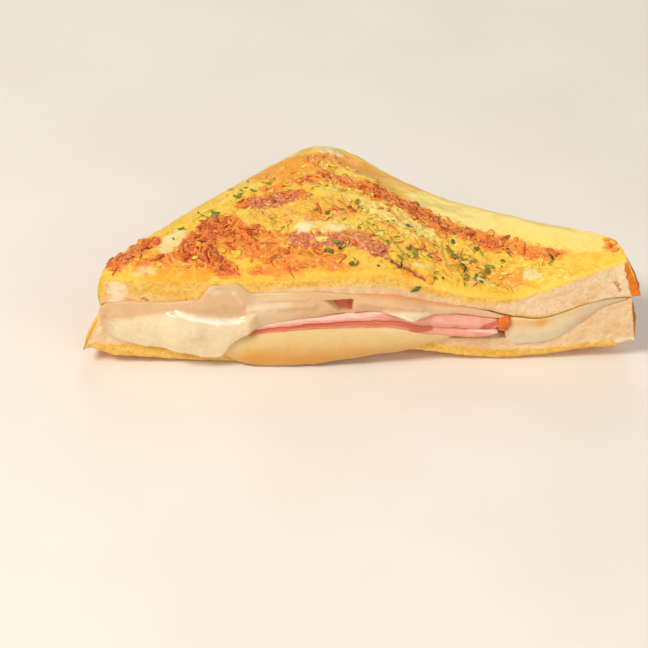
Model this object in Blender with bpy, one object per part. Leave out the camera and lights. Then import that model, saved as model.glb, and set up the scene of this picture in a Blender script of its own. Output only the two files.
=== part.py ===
"""One half of a ham and cheese toastie, cut from corner to corner: two slices of egg-fried bread with melted
cheese and folded ham between them, and flakes of dried herb on top.

Every size is in millimetres and becomes metres where a mesh is made. X runs along the cut face from left to
right, Y from the cut face back to the crust corner, and Z up. The cut face is the front."""

import math

import bpy
import numpy as np
from mathutils import Matrix, Vector, noise
from mathutils.bvhtree import BVHTree

MM = 0.001
SHARP_ANGLE = math.radians(50)
GAP = 0.4
INNER_GAP = 1.05
GAP_REACH = 10.0

# The slice before it was cut, and where the middle of the finished half lies.
LEFT_LEG = 106.0
RIGHT_LEG = 114.0
CORNER_RADIUS = 14.0
MIDDLE_X = -0.594
MIDDLE_Y = 34.179

# Heights along the cut face, as (x, height).
UNDERSIDE = ((-74, 3.0), (-58, 1.7), (-44, 0.4), (-30, 0.0), (-16, 0.8), (2, 3.4), (14, 3.0), (28, 0.8),
             (38, 0.2), (48, 1.0), (62, 3.2), (74, 3.6))
LOWER_SLICE_TOP = ((-74, 18.0), (-66, 14.0), (-58, 9.2), (-44, 7.6), (-15, 7.2), (12, 8.0), (42, 8.2),
                   (52, 9.4), (60, 14.0), (66, 18.2), (74, 20.0))
UPPER_SLICE_UNDERSIDE = ((-74, 18.8), (-66, 19.6), (-50, 19.4), (-33, 21.2), (-14, 21.6), (8, 20.2),
                         (20, 18.0), (31, 16.4), (41, 14.0), (46, 13.6), (52, 15.4), (57, 17.6), (62, 19.3),
                         (74, 20.8))
UPPER_SLICE_TOP = ((-74, 27.0), (-66, 28.6), (-56, 28.0), (-30, 27.8), (-8, 28.4), (4, 28.6), (14, 26.2),
                   (25, 22.6), (38, 20.9), (48, 23.7), (57, 27.9), (65, 31.2), (74, 32.0))

# Heights along the crust edge, as (x, height).
CRUST_SEAM = ((-74, 18.4), (-60, 14.5), (-40, 13.4), (-5, 12.2), (12, 9.6), (26, 9.8), (40, 12.0),
              (54, 15.0), (64, 18.2), (74, 20.4))
CRUST_TOP = ((-74, 25.0), (-66, 27.0), (-50, 27.8), (-30, 27.6), (-12, 26.6), (2, 23.8), (16, 21.3),
             (28, 21.3), (42, 24.4), (56, 29.0), (66, 32.8), (74, 32.2))
SEAM_CLEARANCE = 0.45
SEAM_REACH = 12.0

# The rounding of the crust edges, how far the top swells between cut and crust, and how much narrower each
# slice is at its top than at its bottom, as (x, inset).
EDGE_ROUND = 6.0
TOP_EDGE_DROP = 1.8
BASE_EDGE_LIFT = 2.0
SWELL = 2.2
SWELL_DEPTH = 40.0
CRUST_BULGE = 0.9
UNDERSIDE_REACH = 24.0
LOWER_SLICE_SHIFT = ((-74, -1.3), (-60, 0.0), (74, 0.0))
LOWER_SLICE_INSETS = ((-74, 3.4), (-55, 1.8), (0, 1.2), (60, 1.6), (74, 2.8))
UPPER_SLICE_SHIFT = ((-74, 3.4), (-55, 0.8), (0, 0.5), (60, 0.4), (74, 0.2))
UPPER_SLICE_INSETS = ((-74, 4.6), (-60, 2.2), (0, 1.4), (52, 1.4), (64, 4.0), (74, 6.6))

# The grids of the slices, as columns and rows of base, top and crust, how the rows crowd towards the crust,
# how much of the outline's ends is left off, and the least share of its depth that an inset edge keeps.
LOWER_SLICE_GRID = (46, 6, 11, 3)
UPPER_SLICE_GRID = (58, 11, 20, 4)
BASE_ROW_SPREAD = 0.8
TOP_ROW_SPREAD = 1.15
END_TRIM = 0.004
LEAST_DEPTH_SHARE = 0.3

# The relief of the fried top: its lumps, and the rougher skin between them.
LUMP_SIZE = 9.0
LUMP_HEIGHT = 0.75
SKIN_SIZE = 3.6
SKIN_HEIGHT = 0.35

# The cut edges of the filling, as (x, height).
HAM_BOTTOM = ((-34, 8.9), (-25, 10.4), (-12, 11.4), (0, 12.0), (8, 11.4), (14, 10.0), (22, 9.4), (35, 9.3))
HAM_MIDDLE = ((-34, 9.9), (-25, 11.8), (-12, 13.4), (0, 14.0), (8, 13.8), (14, 12.6), (24, 11.4),
              (35, 11.1))
HAM_TOP = ((-34, 10.8), (-25, 13.4), (-14, 15.3), (0, 16.5), (8, 17.4), (16, 16.7), (25, 15.3), (35, 13.9))

# Outlines of what lies between the slices: the ends along the cut, and the depth from the cut.
CHEESE_UPPER_ENDS = (-67.0, 33.6)
CHEESE_LOWER_ENDS = (-35.5, 17.5)
CHEESE_RIGHT_ENDS = (39.4, 60.5)
CHEESE_LOWER_SHORTFALL = 3.0
CHEESE_COLUMNS = {"upper": 44, "lower": 26, "right": 12}
HAM_LONG_ENDS = (-28.0, 34.0)
HAM_LEFT_ENDS = (-32.6, 10.6)
HAM_RIGHT_ENDS = (12.4, 33.4)
HAM_COLUMN_WIDTH = 2.8
HAM_START = -38.5
HAM_START_WIDTH = 4.0
HAM_DEPTH = 46.0
HAM_END_DEPTH = 18.0
FILLING_INSET = 14.5

# Where a layer's rows lie, as shares of its depth, and the profile of its cut edge from below to above: how
# far it stands out as a share of the bulge, how much more where nothing hangs, how far down as a share of
# the droop, and how far up as a share of its own height.
LAYER_ROWS = (1.0, 0.62, 0.3, 0.1)
LIP_PROFILE = ((0.0, 0.05, 0.0, 0.0), (0.0, 0.2, 0.55, 0.0), (0.12, 0.25, 0.92, 0.0), (0.62, 0.0, 1.0, 0.0),
               (0.94, 0.0, 1.0, 0.22), (1.0, 0.0, 1.0, 0.48), (0.84, 0.0, 1.0, 0.74),
               (0.48, 0.0, 1.0, 0.92), (0.0, 0.0, 1.0, 1.0))

# How far the melted edges stand out of the cut face and hang below their own layer, as (x, size).
CHEESE_UPPER_BULGE = ((-67, 0.7), (-58, 1.8), (-44, 2.6), (-34, 2.2), (-20, 1.3), (-2, 0.9), (16, 1.2),
                      (34, 0.7))
CHEESE_UPPER_DROOP = ((-67, 3.2), (-62, 3.8), (-56, 3.0), (-46, 3.4), (-39, 3.4), (-34, 0.5), (-30, 0.0),
                      (34, 0.0))
CHEESE_LOWER_BULGE = ((-36, 1.3), (-28, 2.6), (-14, 3.0), (2, 2.6), (12, 1.7), (17.5, 0.9))
CHEESE_LOWER_DROOP = ((-36, 4.8), (-28, 7.0), (-14, 6.4), (2, 4.2), (12, 3.0), (17.5, 0.9))
CHEESE_RIGHT_BULGE = ((39, 1.3), (48, 1.6), (56, 1.1), (61, 0.7))
CHEESE_RIGHT_DROOP = ((39, 1.0), (46, 1.4), (54, 1.2), (61, 0.5))
HAM_PROUD = 0.7

# The fold of ham that stands up in a gap of the upper cheese, and the gap, as (x, height) corners.
FOLD_CORNERS = ((-11.4, 19.6), (-4.2, 20.3), (-3.9, 14.9), (-8.6, 14.9))
FOLD_GAP_CORNERS = ((-12.6, 23.0), (-3.1, 23.0), (-2.8, 13.0), (-9.6, 13.0), (-12.6, 19.4))
FOLD_FRONT = 0.4
FOLD_BACK = 20.0
FOLD_GAP_FRONT = -8.0

# The browned end of the ham: its sizes, and its rings as (y, share of its width).
BROWNED_END_MIDDLE = (36.3, 12.3)
BROWNED_END_WIDTH = 3.4
BROWNED_END_HEIGHT = 4.4
BROWNED_END_SIDES = 12
BROWNED_END_RINGS = ((-0.9, 0.55), (-0.5, 0.9), (0.6, 1.0), (8.0, 0.9))

# Herb flakes: (x, y, spread, count) of each scatter, and the size of a flake.
HERB_SCATTERS = ((26, 20, 7.0, 22), (12, 14, 8.0, 16), (-4, 26, 12.0, 12), (-22, 34, 10.0, 9),
                 (-44, 24, 6.0, 8), (42, 15, 6.0, 8), (-14, 10, 10.0, 7), (8, 34, 9.0, 6))
HERB_SEED = 7
FLAKE_LENGTHS = (1.5, 3.2)
FLAKE_WIDTHS = (0.8, 1.5)
FLAKE_CORNERS = ((-0.5, 0.0), (-0.1, 0.5), (0.5, 0.15), (0.2, -0.5))
FLAKE_TOP_SHARES = (0.3, 0.6)
FLAKE_HEIGHT = 0.75
FLAKE_SUNK = 0.35
FLAKE_SPACE = 2.0
FLAKE_EDGE_CLEARANCE = 3.0
RAY_START = 100.0

# The colours, as linear red, green and blue, and the roughness of each surface.
EGG_YELLOW = ((0.86, 0.52, 0.13), 0.55)
CRUMB = ((0.84, 0.62, 0.34), 0.85)
CHEESE_WHITE = ((0.88, 0.72, 0.45), 0.3)
CHEESE_YELLOW = ((0.84, 0.58, 0.22), 0.3)
HAM_PINK = ((0.80, 0.34, 0.24), 0.4)
HAM_BROWNED = ((0.70, 0.20, 0.04), 0.5)


def curve(stations):
    """A smooth curve through (x, value) stations, level outside them."""
    xs, values = np.array(stations, float).T
    slopes = np.gradient(values, xs)

    def value(x):
        x = np.clip(x, xs[0], xs[-1])
        i = np.clip(np.searchsorted(xs, x) - 1, 0, len(xs) - 2)
        span = xs[i + 1] - xs[i]
        t = (x - xs[i]) / span
        start = (1 + 2 * t) * (1 - t) ** 2 * values[i] + t * (1 - t) ** 2 * span * slopes[i]
        end = t * t * (3 - 2 * t) * values[i + 1] + t * t * (t - 1) * span * slopes[i + 1]
        return start + end

    return value


def smooth(t):
    """0 to 1 with level ends."""
    t = np.clip(t, 0.0, 1.0)
    return t * t * (3 - 2 * t)


def crust_outline():
    """Close points of the crust side, from the left end of the cut round the corner to the right end."""
    hypotenuse = math.hypot(LEFT_LEG, RIGHT_LEG)
    foot = LEFT_LEG**2 / hypotenuse
    height = LEFT_LEG * RIGHT_LEG / hypotenuse
    left, corner, right = np.array([[-foot, 0.0], [0.0, height], [hypotenuse - foot, 0.0]])
    up = (corner - left) / LEFT_LEG
    down = (right - corner) / RIGHT_LEG
    across_up, across_down = np.array([-up[1], up[0]]), np.array([-down[1], down[0]])
    start_turn, end_turn = math.atan2(*across_up[::-1]), math.atan2(*across_down[::-1])

    def arc(centre, first, last):
        turn = np.linspace(first, last, 40)
        return centre + CORNER_RADIUS * np.stack([np.cos(turn), np.sin(turn)], 1)

    left_centre = left + CORNER_RADIUS * (up + down)
    right_centre = right - CORNER_RADIUS * (up + down)
    top_centre = corner + CORNER_RADIUS * (down - up)
    points = np.concatenate([
        arc(left_centre, math.pi + math.asin(left_centre[1] / CORNER_RADIUS), start_turn),
        arc(top_centre, start_turn, end_turn),
        arc(right_centre, end_turn, -math.asin(right_centre[1] / CORNER_RADIUS)),
    ])
    points[:, 0] -= (points[0, 0] + points[-1, 0]) / 2
    return points


OUTLINE = crust_outline()


def crust_points(count):
    """count points of the crust side at even distances, and the outward direction at each."""
    steps = np.linalg.norm(np.diff(OUTLINE, axis=0), axis=1)
    along = np.concatenate([[0.0], np.cumsum(steps)]) / steps.sum()
    where = np.linspace(END_TRIM, 1 - END_TRIM, count)
    points = np.stack([np.interp(where, along, OUTLINE[:, k]) for k in (0, 1)], 1)
    slope = np.gradient(points, axis=0)
    outward = np.stack([-slope[:, 1], slope[:, 0]], 1)
    return points, outward / np.linalg.norm(outward, axis=1)[:, None]


def depth_at(x):
    """How far back the crust side lies at x."""
    return np.interp(x, OUTLINE[:, 0], OUTLINE[:, 1])


def from_crust(x, y):
    """The distance from the crust side."""
    starts, spans = OUTLINE[:-1], np.diff(OUTLINE, axis=0)
    place = np.stack(np.broadcast_arrays(x, y), -1)[..., None, :]
    along = np.clip(((place - starts) * spans).sum(-1) / (spans**2).sum(-1), 0.0, 1.0)
    return np.linalg.norm(place - starts - along[..., None] * spans, axis=-1).min(-1)


def seam_share(x, y):
    """1 at the crust, where the slices are pressed together, and 0 at the cut and over the filling."""
    return (1 - smooth(from_crust(x, y) / SEAM_REACH)) * smooth(y / SEAM_REACH)


def underside(x, y):
    """The base: flat but for its cut edge and its crust edge."""
    at_cut = np.maximum(curve(UNDERSIDE)(x), 0.0) * (1 - smooth(y / UNDERSIDE_REACH))
    return at_cut + BASE_EDGE_LIFT * (1 - smooth(from_crust(x, y) / EDGE_ROUND))


def lower_slice_top(x, y):
    """The inner face of the lower slice."""
    share = seam_share(x, y)
    return curve(LOWER_SLICE_TOP)(x) * (1 - share) + (curve(CRUST_SEAM)(x) - SEAM_CLEARANCE / 2) * share


def upper_slice_underside(x, y):
    """The inner face of the upper slice."""
    share = seam_share(x, y)
    return curve(UPPER_SLICE_UNDERSIDE)(x) * (1 - share) + (curve(CRUST_SEAM)(x) + SEAM_CLEARANCE / 2) * share


def relief(x, y):
    """The lumps and the rougher skin of the fried top, at most about 1 mm high."""
    height = np.empty(np.shape(x))
    for i in np.ndindex(height.shape):
        place = Vector((x[i], y[i], 0.0))
        lumps = noise.noise(place / LUMP_SIZE)
        skin = noise.noise(place / SKIN_SIZE + Vector((0, 0, 5)))
        height[i] = LUMP_HEIGHT * lumps + SKIN_HEIGHT * skin
    return height


def upper_slice_top(x, y):
    """The fried top, from the cut's edge to the crust's, with its swell and its relief."""
    share = y / np.maximum(depth_at(x), 1.0)
    level = curve(UPPER_SLICE_TOP)(x) * (1 - smooth(share)) + curve(CRUST_TOP)(x) * smooth(share)
    inside = smooth(from_crust(x, y) / EDGE_ROUND)
    swell = SWELL * 4 * share * (1 - share) * smooth(depth_at(x) / SWELL_DEPTH)
    return level + swell - TOP_EDGE_DROP * (1 - inside) ** 2 + relief(x, y) * inside


def filling_height(stations, x, y):
    """A layer's height behind the cut, which keeps its share of the room between the slices."""
    bottom, top = curve(LOWER_SLICE_TOP)(x), curve(UPPER_SLICE_UNDERSIDE)(x)
    share = (curve(stations)(x) - bottom) / (top - bottom)
    low, high = lower_slice_top(x, y), upper_slice_underside(x, y)
    return low + np.clip(share, 0.0, 1.0) * (high - low)


def gap_at(y):
    """The gap between two layers: small at the cut, and wider inside, where the layers' grids differ."""
    return GAP + (INNER_GAP - GAP) * smooth(y / GAP_REACH)


def material(name, finish):
    colour, roughness = finish
    made = bpy.data.materials.get(name) or bpy.data.materials.new(name)
    made.use_nodes = True
    shader = made.node_tree.nodes["Principled BSDF"]
    shader.inputs["Base Color"].default_value = (*colour, 1.0)
    shader.inputs["Roughness"].default_value = roughness
    shader.inputs["Metallic"].default_value = 0.0
    return made


def solid(name, rings, finish):
    """A closed object lofted through rings, an array of ring by point by (x, y, z)."""
    rings = np.asarray(rings, float)
    count, size = rings.shape[:2]
    points = (rings.reshape(-1, 3) - (MIDDLE_X, MIDDLE_Y, 0.0)) * MM
    faces = [
        (i * size + j, i * size + (j + 1) % size, (i + 1) * size + (j + 1) % size, (i + 1) * size + j)
        for i in range(count - 1)
        for j in range(size)
    ]
    faces += [tuple(reversed(range(size))), tuple(range((count - 1) * size, count * size))]
    mesh = bpy.data.meshes.new(name)
    mesh.from_pydata([tuple(p) for p in points], [], faces)
    obj = bpy.data.objects.new(name, mesh)
    bpy.context.scene.collection.objects.link(obj)
    mesh.materials.append(material(name, finish))
    outward_volume = sum(
        points[a].dot(np.cross(points[b], points[c]))
        for face in faces
        for a, b, c in ((face[0], face[k], face[k + 1]) for k in range(1, len(face) - 1))
    )
    if outward_volume < 0:
        mesh.flip_normals()
    mesh.shade_smooth()
    mesh.set_sharp_from_angle(angle=SHARP_ANGLE)
    return obj


def slice_rings(grid, low, high, low_inset, high_inset):
    """Rings of a bread slice: each runs forward along its base, back along its top and down its crust."""
    columns, base_rows, top_rows, crust_rows = grid
    edge, outward = crust_points(columns)

    def sheet(inset, surface, shares):
        rim = edge - outward * inset(edge[:, 0])[:, None]
        rim[:, 1] = np.maximum(rim[:, 1], LEAST_DEPTH_SHARE * edge[:, 1])
        x = np.repeat(rim[:, :1], len(shares), 1)
        y = rim[:, 1:] * shares
        return np.stack([x, y, surface(x, y)], 2)

    base = sheet(low_inset, low, np.linspace(1, 0, base_rows) ** BASE_ROW_SPREAD)
    top = sheet(high_inset, high, 1 - np.linspace(1, 0, top_rows) ** TOP_ROW_SPREAD)
    shares = np.linspace(0, 1, crust_rows + 2)[1:-1, None]
    crust = top[:, -1:] + (base[:, :1] - top[:, -1:]) * shares
    crust[:, :, :2] += outward[:, None] * CRUST_BULGE * np.sin(math.pi * shares)
    return np.concatenate([base, top, crust], 1)


def layer_rings(ends, columns, surfaces, bulge, droop, depth_of):
    """Rings of a filling layer, whose cut edge stands out by bulge and hangs down by droop."""
    bottom, top = surfaces
    x = np.linspace(*ends, columns)
    out, hang, rear = bulge(x), droop(x), depth_of(x)
    low, high = bottom(x, 0 * x), top(x, 0 * x)
    flush = 1 - smooth(hang)
    lip = [
        (-GAP - out * (reach + extra * flush), low - hang * drop + (high - low + hang) * rise)
        for reach, extra, drop, rise in LIP_PROFILE
    ]
    inside = [share * rear for share in LAYER_ROWS]
    ring = [(y, bottom(x, y)) for y in inside] + lip + [(y, top(x, y)) for y in reversed(inside)]
    return np.stack([np.stack([x, y, z], 1) for y, z in ring], 1)


def filling_depth(x):
    """How far a cheese layer runs back, clear of where the slices are pressed together."""
    return np.maximum(depth_at(x) - FILLING_INSET, 2.0)


def ham_depth(ends):
    """A ham slice's depth, least at its ends so that its back is round."""
    middle, half = (ends[0] + ends[1]) / 2, (ends[1] - ends[0]) / 2

    def depth(x):
        roundness = np.sqrt(np.clip(1 - ((x - middle) / half) ** 2, 0.0, 1.0))
        return np.minimum(HAM_END_DEPTH + (HAM_DEPTH - HAM_END_DEPTH) * roundness, filling_depth(x) - 1.0)

    return depth


def between(lower, upper):
    """Bottom and top surfaces of a layer between two sets of stations, or a slice where one is None."""

    def bottom(x, y):
        if lower is None:
            return lower_slice_top(x, y) + gap_at(y)
        return filling_height(lower, x, y) + gap_at(y) / 2

    def top(x, y):
        if upper is None:
            return upper_slice_underside(x, y) - gap_at(y)
        return filling_height(upper, x, y) - gap_at(y) / 2

    return bottom, top


def make_lower_slice():
    shift, inset = curve(LOWER_SLICE_SHIFT), curve(LOWER_SLICE_INSETS)
    rings = slice_rings(LOWER_SLICE_GRID, underside, lower_slice_top, shift, inset)
    return solid("bread_bottom", rings, CRUMB)


def make_upper_slice():
    shift, inset = curve(UPPER_SLICE_SHIFT), curve(UPPER_SLICE_INSETS)
    rings = slice_rings(UPPER_SLICE_GRID, upper_slice_underside, upper_slice_top, shift, inset)
    return solid("bread_top", rings, EGG_YELLOW)


def make_cheese():
    """The three cheese layers, of which the last is the upper one."""
    on_ham, _ = between(HAM_TOP, None)
    on_slice, top = between(None, None)

    def upper_bottom(x, y):
        """On the ham where there is ham, and on the lower slice to the left of it."""
        share = smooth((x - HAM_START) / HAM_START_WIDTH)
        return on_slice(x, y) * (1 - share) + on_ham(x, y) * share

    for name, ends, surfaces, bulge, droop, shortfall, finish in (
        ("lower", CHEESE_LOWER_ENDS, between(None, HAM_BOTTOM), CHEESE_LOWER_BULGE, CHEESE_LOWER_DROOP,
         CHEESE_LOWER_SHORTFALL, CHEESE_YELLOW),
        ("right", CHEESE_RIGHT_ENDS, (on_slice, top), CHEESE_RIGHT_BULGE, CHEESE_RIGHT_DROOP,
         0.0, CHEESE_WHITE),
        ("upper", CHEESE_UPPER_ENDS, (upper_bottom, top), CHEESE_UPPER_BULGE, CHEESE_UPPER_DROOP,
         0.0, CHEESE_WHITE),
    ):
        rings = layer_rings(ends, CHEESE_COLUMNS[name], surfaces, curve(bulge), curve(droop),
                            lambda x: filling_depth(x) - shortfall)
        cheese = solid("cheese_" + name, rings, finish)
    return cheese


def make_ham():
    """The ham slices, of which the last is the long one that the others lie under."""
    for name, ends, stations in (
        ("ham_left", HAM_LEFT_ENDS, (HAM_BOTTOM, HAM_MIDDLE)),
        ("ham_right", HAM_RIGHT_ENDS, (HAM_BOTTOM, HAM_MIDDLE)),
        ("ham_long", HAM_LONG_ENDS, (HAM_MIDDLE, HAM_TOP)),
    ):
        columns = round((ends[1] - ends[0]) / HAM_COLUMN_WIDTH)
        rings = layer_rings(ends, columns, between(*stations), lambda x: HAM_PROUD + 0 * x, lambda x: 0 * x,
                            ham_depth(ends))
        slice_of_ham = solid(name, rings, HAM_PINK)
    return slice_of_ham


def prism(name, corners, front, back, finish):
    """A block with the given (x, height) corners, from front to back."""
    return solid(name, [[(x, y, z) for x, z in corners] for y in (front, back)], finish)


def boolean(target, operation, solver, **operand):
    change = target.modifiers.new(operation.lower(), "BOOLEAN")
    change.operation = operation
    change.solver = solver
    for name, value in operand.items():
        setattr(change, name, value)
    return change


def make_ham_fold(ham, cheese):
    """Fuses the standing fold to the ham, and opens the gap round it in the cheese."""
    fold = prism("ham_fold", FOLD_CORNERS, FOLD_FRONT, FOLD_BACK, HAM_PINK)
    join = boolean(ham, "UNION", "EXACT", object=fold)
    bpy.context.view_layer.objects.active = ham
    bpy.ops.object.modifier_apply(modifier=join.name)
    bpy.data.objects.remove(fold)
    cutter = prism("fold_gap", FOLD_GAP_CORNERS, FOLD_GAP_FRONT, FOLD_BACK + 1.0, HAM_PINK)
    cutter.hide_render = True
    cutter.display_type = "WIRE"
    boolean(cheese, "DIFFERENCE", "EXACT", object=cutter)


def make_browned_end():
    """The rounded block of browned rind at the right end of the ham."""
    middle_x, middle_z = BROWNED_END_MIDDLE
    turns = np.linspace(0, 2 * math.pi, BROWNED_END_SIDES, endpoint=False)
    blocky = (np.cos(turns) ** 4 + np.sin(turns) ** 4) ** -0.25
    rings = [
        [
            (middle_x + BROWNED_END_WIDTH / 2 * size * reach * math.cos(turn), y,
             middle_z + BROWNED_END_HEIGHT / 2 * size * reach * math.sin(turn))
            for turn, reach in zip(turns, blocky)
        ]
        for y, size in BROWNED_END_RINGS
    ]
    solid("ham_browned_end", rings, HAM_BROWNED)


def flake_places():
    """Where the herb flakes lie: seeded scatters, kept apart and clear of the edges."""
    random = np.random.default_rng(HERB_SEED)
    places = []
    for x, y, spread, count in HERB_SCATTERS:
        found = 0
        while found < count:
            place = np.array([x, y]) + random.normal(0, spread / 2, 2)
            margin = min(place[1], from_crust(*place))
            near = [p for p in places if np.linalg.norm(p - place) < FLAKE_SPACE]
            if margin > FLAKE_EDGE_CLEARANCE and not near:
                places.append(place)
                found += 1
    return places, random


def make_flakes(target):
    """Fuses the herb flakes to the top with one union."""
    places, random = flake_places()
    flakes = bpy.data.collections.new("flakes")
    skin = BVHTree.FromObject(target, bpy.context.evaluated_depsgraph_get())
    for place in places:
        x, y = place
        length, width = random.uniform(*FLAKE_LENGTHS), random.uniform(*FLAKE_WIDTHS)
        turn = random.uniform(0, math.pi)
        above = Vector((x - MIDDLE_X, y - MIDDLE_Y, RAY_START)) * MM
        z = skin.ray_cast(above, Vector((0, 0, -1)))[0].z / MM
        top_share = random.uniform(*FLAKE_TOP_SHARES)
        rings = []
        for height, size in ((-FLAKE_SUNK, 1.0), (FLAKE_HEIGHT - FLAKE_SUNK, top_share)):
            ring = [Matrix.Rotation(turn, 3, "Z") @ Vector((a * length * size, b * width * size, height))
                    for a, b in FLAKE_CORNERS]
            rings.append([(p.x + x, p.y + y, p.z + z) for p in ring])
        flake = solid("flake", rings, EGG_YELLOW)
        bpy.context.scene.collection.objects.unlink(flake)
        flakes.objects.link(flake)
    bpy.context.scene.collection.children.link(flakes)
    join = boolean(target, "UNION", "MANIFOLD", operand_type="COLLECTION", collection=flakes)
    bpy.context.view_layer.objects.active = target
    bpy.ops.object.modifier_apply(modifier=join.name)
    for flake in list(flakes.objects):
        bpy.data.objects.remove(flake)
    bpy.data.collections.remove(flakes)


def main():
    for obj in list(bpy.data.objects):
        bpy.data.objects.remove(obj)
    make_lower_slice()
    make_ham_fold(make_ham(), make_cheese())
    make_browned_end()
    make_flakes(make_upper_slice())


main()
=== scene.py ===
"""The looks of one half of a ham and cheese toastie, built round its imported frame.

Shapes are worked out in millimetres, in the frame of the part's own profiles: X along the cut face, Y
from the cut face back to the crust corner, Z up. They become metres in the row frame where a mesh is made."""

import math

import bpy
import numpy as np
from mathutils import Matrix, Vector
from mathutils import noise as lump_noise


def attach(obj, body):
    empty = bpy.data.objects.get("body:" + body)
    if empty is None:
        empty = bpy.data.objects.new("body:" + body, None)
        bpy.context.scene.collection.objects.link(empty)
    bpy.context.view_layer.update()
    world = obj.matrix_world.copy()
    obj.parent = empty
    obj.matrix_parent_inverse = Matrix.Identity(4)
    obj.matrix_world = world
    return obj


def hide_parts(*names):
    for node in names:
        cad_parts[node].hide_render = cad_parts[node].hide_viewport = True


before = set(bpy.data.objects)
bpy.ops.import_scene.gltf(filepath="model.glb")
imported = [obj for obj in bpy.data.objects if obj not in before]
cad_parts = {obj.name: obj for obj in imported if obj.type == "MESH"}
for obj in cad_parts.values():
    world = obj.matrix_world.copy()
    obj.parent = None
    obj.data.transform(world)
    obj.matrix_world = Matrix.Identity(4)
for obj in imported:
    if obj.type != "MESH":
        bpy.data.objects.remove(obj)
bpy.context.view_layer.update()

MM = 0.001
MIDDLE = (-0.594, 34.179, 0.0)
DIAGONAL = math.sqrt(0.5)

# The part's own profiles. They have the names of the solids' profiles, and their values but for a few
# stations that follow the photo more closely.
LEFT_LEG = 106.0
RIGHT_LEG = 114.0
CORNER_RADIUS = 14.0

UNDERSIDE = ((-74, 3.0), (-58, 1.7), (-44, 0.4), (-30, 0.0), (-16, 0.8), (2, 3.4), (14, 3.0), (28, 0.8),
             (38, 0.2), (48, 1.0), (62, 3.2), (74, 3.6))
LOWER_SLICE_TOP = ((-74, 18.0), (-66, 14.0), (-58, 9.2), (-44, 7.6), (-15, 7.2), (12, 8.0), (42, 8.2),
                   (52, 10.6), (57, 14.2), (62, 17.6), (67, 19.2), (74, 20.4))
UPPER_SLICE_UNDERSIDE = ((-74, 18.8), (-66, 19.6), (-50, 19.4), (-33, 21.2), (-14, 21.6), (8, 20.2),
                         (20, 18.0), (31, 16.4), (41, 14.0), (46, 13.6), (52, 15.4), (57, 17.6), (62, 19.3),
                         (74, 20.8))
UPPER_SLICE_TOP = ((-74, 27.0), (-66, 28.6), (-56, 28.0), (-30, 27.8), (-8, 28.4), (4, 28.6), (14, 26.2),
                   (25, 22.6), (38, 20.9), (48, 23.7), (57, 27.9), (65, 31.2), (74, 32.0))
CRUST_SEAM = ((-74, 18.4), (-60, 14.5), (-40, 13.4), (-5, 12.2), (12, 9.6), (26, 9.8), (40, 12.0),
              (54, 15.0), (64, 18.2), (74, 20.4))
CRUST_TOP = ((-74, 25.0), (-66, 27.0), (-50, 27.8), (-30, 27.6), (-12, 26.4), (2, 23.0), (16, 21.4),
             (28, 22.4), (42, 26.2), (56, 29.8), (66, 32.8), (74, 32.2))
SEAM_CLEARANCE = 0.25
SEAM_REACH = 12.0
EDGE_ROUND = 6.0
TOP_EDGE_DROP = 1.8
BASE_EDGE_LIFT = 2.0
SWELL = 2.2
SWELL_DEPTH = 40.0
CRUST_BULGE = 0.9
UNDERSIDE_REACH = 24.0
LOWER_SLICE_SHIFT = ((-74, -2.2), (-60, -0.3), (74, 0.0))
LOWER_SLICE_INSETS = ((-74, 3.4), (-55, 1.8), (0, 1.2), (60, 1.6), (74, 2.8))
UPPER_SLICE_SHIFT = ((-74, 3.4), (-55, 0.8), (0, 0.5), (60, 0.4), (74, 0.2))
UPPER_SLICE_INSETS = ((-74, 4.6), (-60, 2.2), (0, 1.4), (54, 1.3), (65, 2.3), (70, 4.4), (74, 6.6))
BASE_ROW_SPREAD = 0.8
TOP_ROW_SPREAD = 1.05
END_TRIM = 0.004
LEAST_DEPTH_SHARE = 0.3
LUMP_SIZE = 9.0
LUMP_HEIGHT = 0.75

HAM_BOTTOM = ((-34, 8.9), (-25, 10.4), (-12, 11.4), (0, 12.0), (8, 11.4), (14, 10.0), (22, 9.4), (35, 9.3))
HAM_MIDDLE = ((-34, 9.9), (-25, 11.8), (-12, 13.4), (0, 14.0), (8, 13.8), (14, 12.6), (24, 11.4),
              (35, 11.1))
HAM_TOP = ((-34, 10.8), (-25, 13.4), (-14, 15.3), (0, 16.5), (8, 17.4), (16, 16.7), (25, 15.3), (35, 13.9))
CHEESE_LOWER_SHORTFALL = 3.0
HAM_START = -38.5
HAM_START_WIDTH = 4.0
HAM_DEPTH = 46.0
HAM_END_DEPTH = 18.0
FILLING_INSET = 14.5
ARC_POINTS = 40
MOST_ROUND_SHARE = 0.3
# Where the top's edge grows sharper towards the right corner, as a start and a width, and how much.
SHARP_CORNER = (46.0, 14.0)
CORNER_SHARPNESS = 0.85

# The grids of the slices, as columns and rows of base, cut, top and crust, and the radius of the cut's edges.
UPPER_SLICE_GRID = (384, 12, 26, 188, 18)
LOWER_SLICE_GRID = (360, 44, 26, 14, 22)
UPPER_CUT_ROUND = ((-74, 2.4), (-60, 2.2), (-45, 1.6), (-36, 0.9), (-10, 1.2), (20, 1.6), (34, 1.2),
                   (42, 0.8),
                   (60, 0.7), (74, 0.7))
LOWER_CUT_ROUND = ((-74, 1.6), (0, 1.4), (74, 1.8))
INNER_ROUND = ((-74, 0.6), (74, 0.6))
UPPER_INNER_ROUND = ((-74, 0.6), (32, 0.6), (42, 0.3), (74, 0.2))
LAYER_GAP = 0.12

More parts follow.
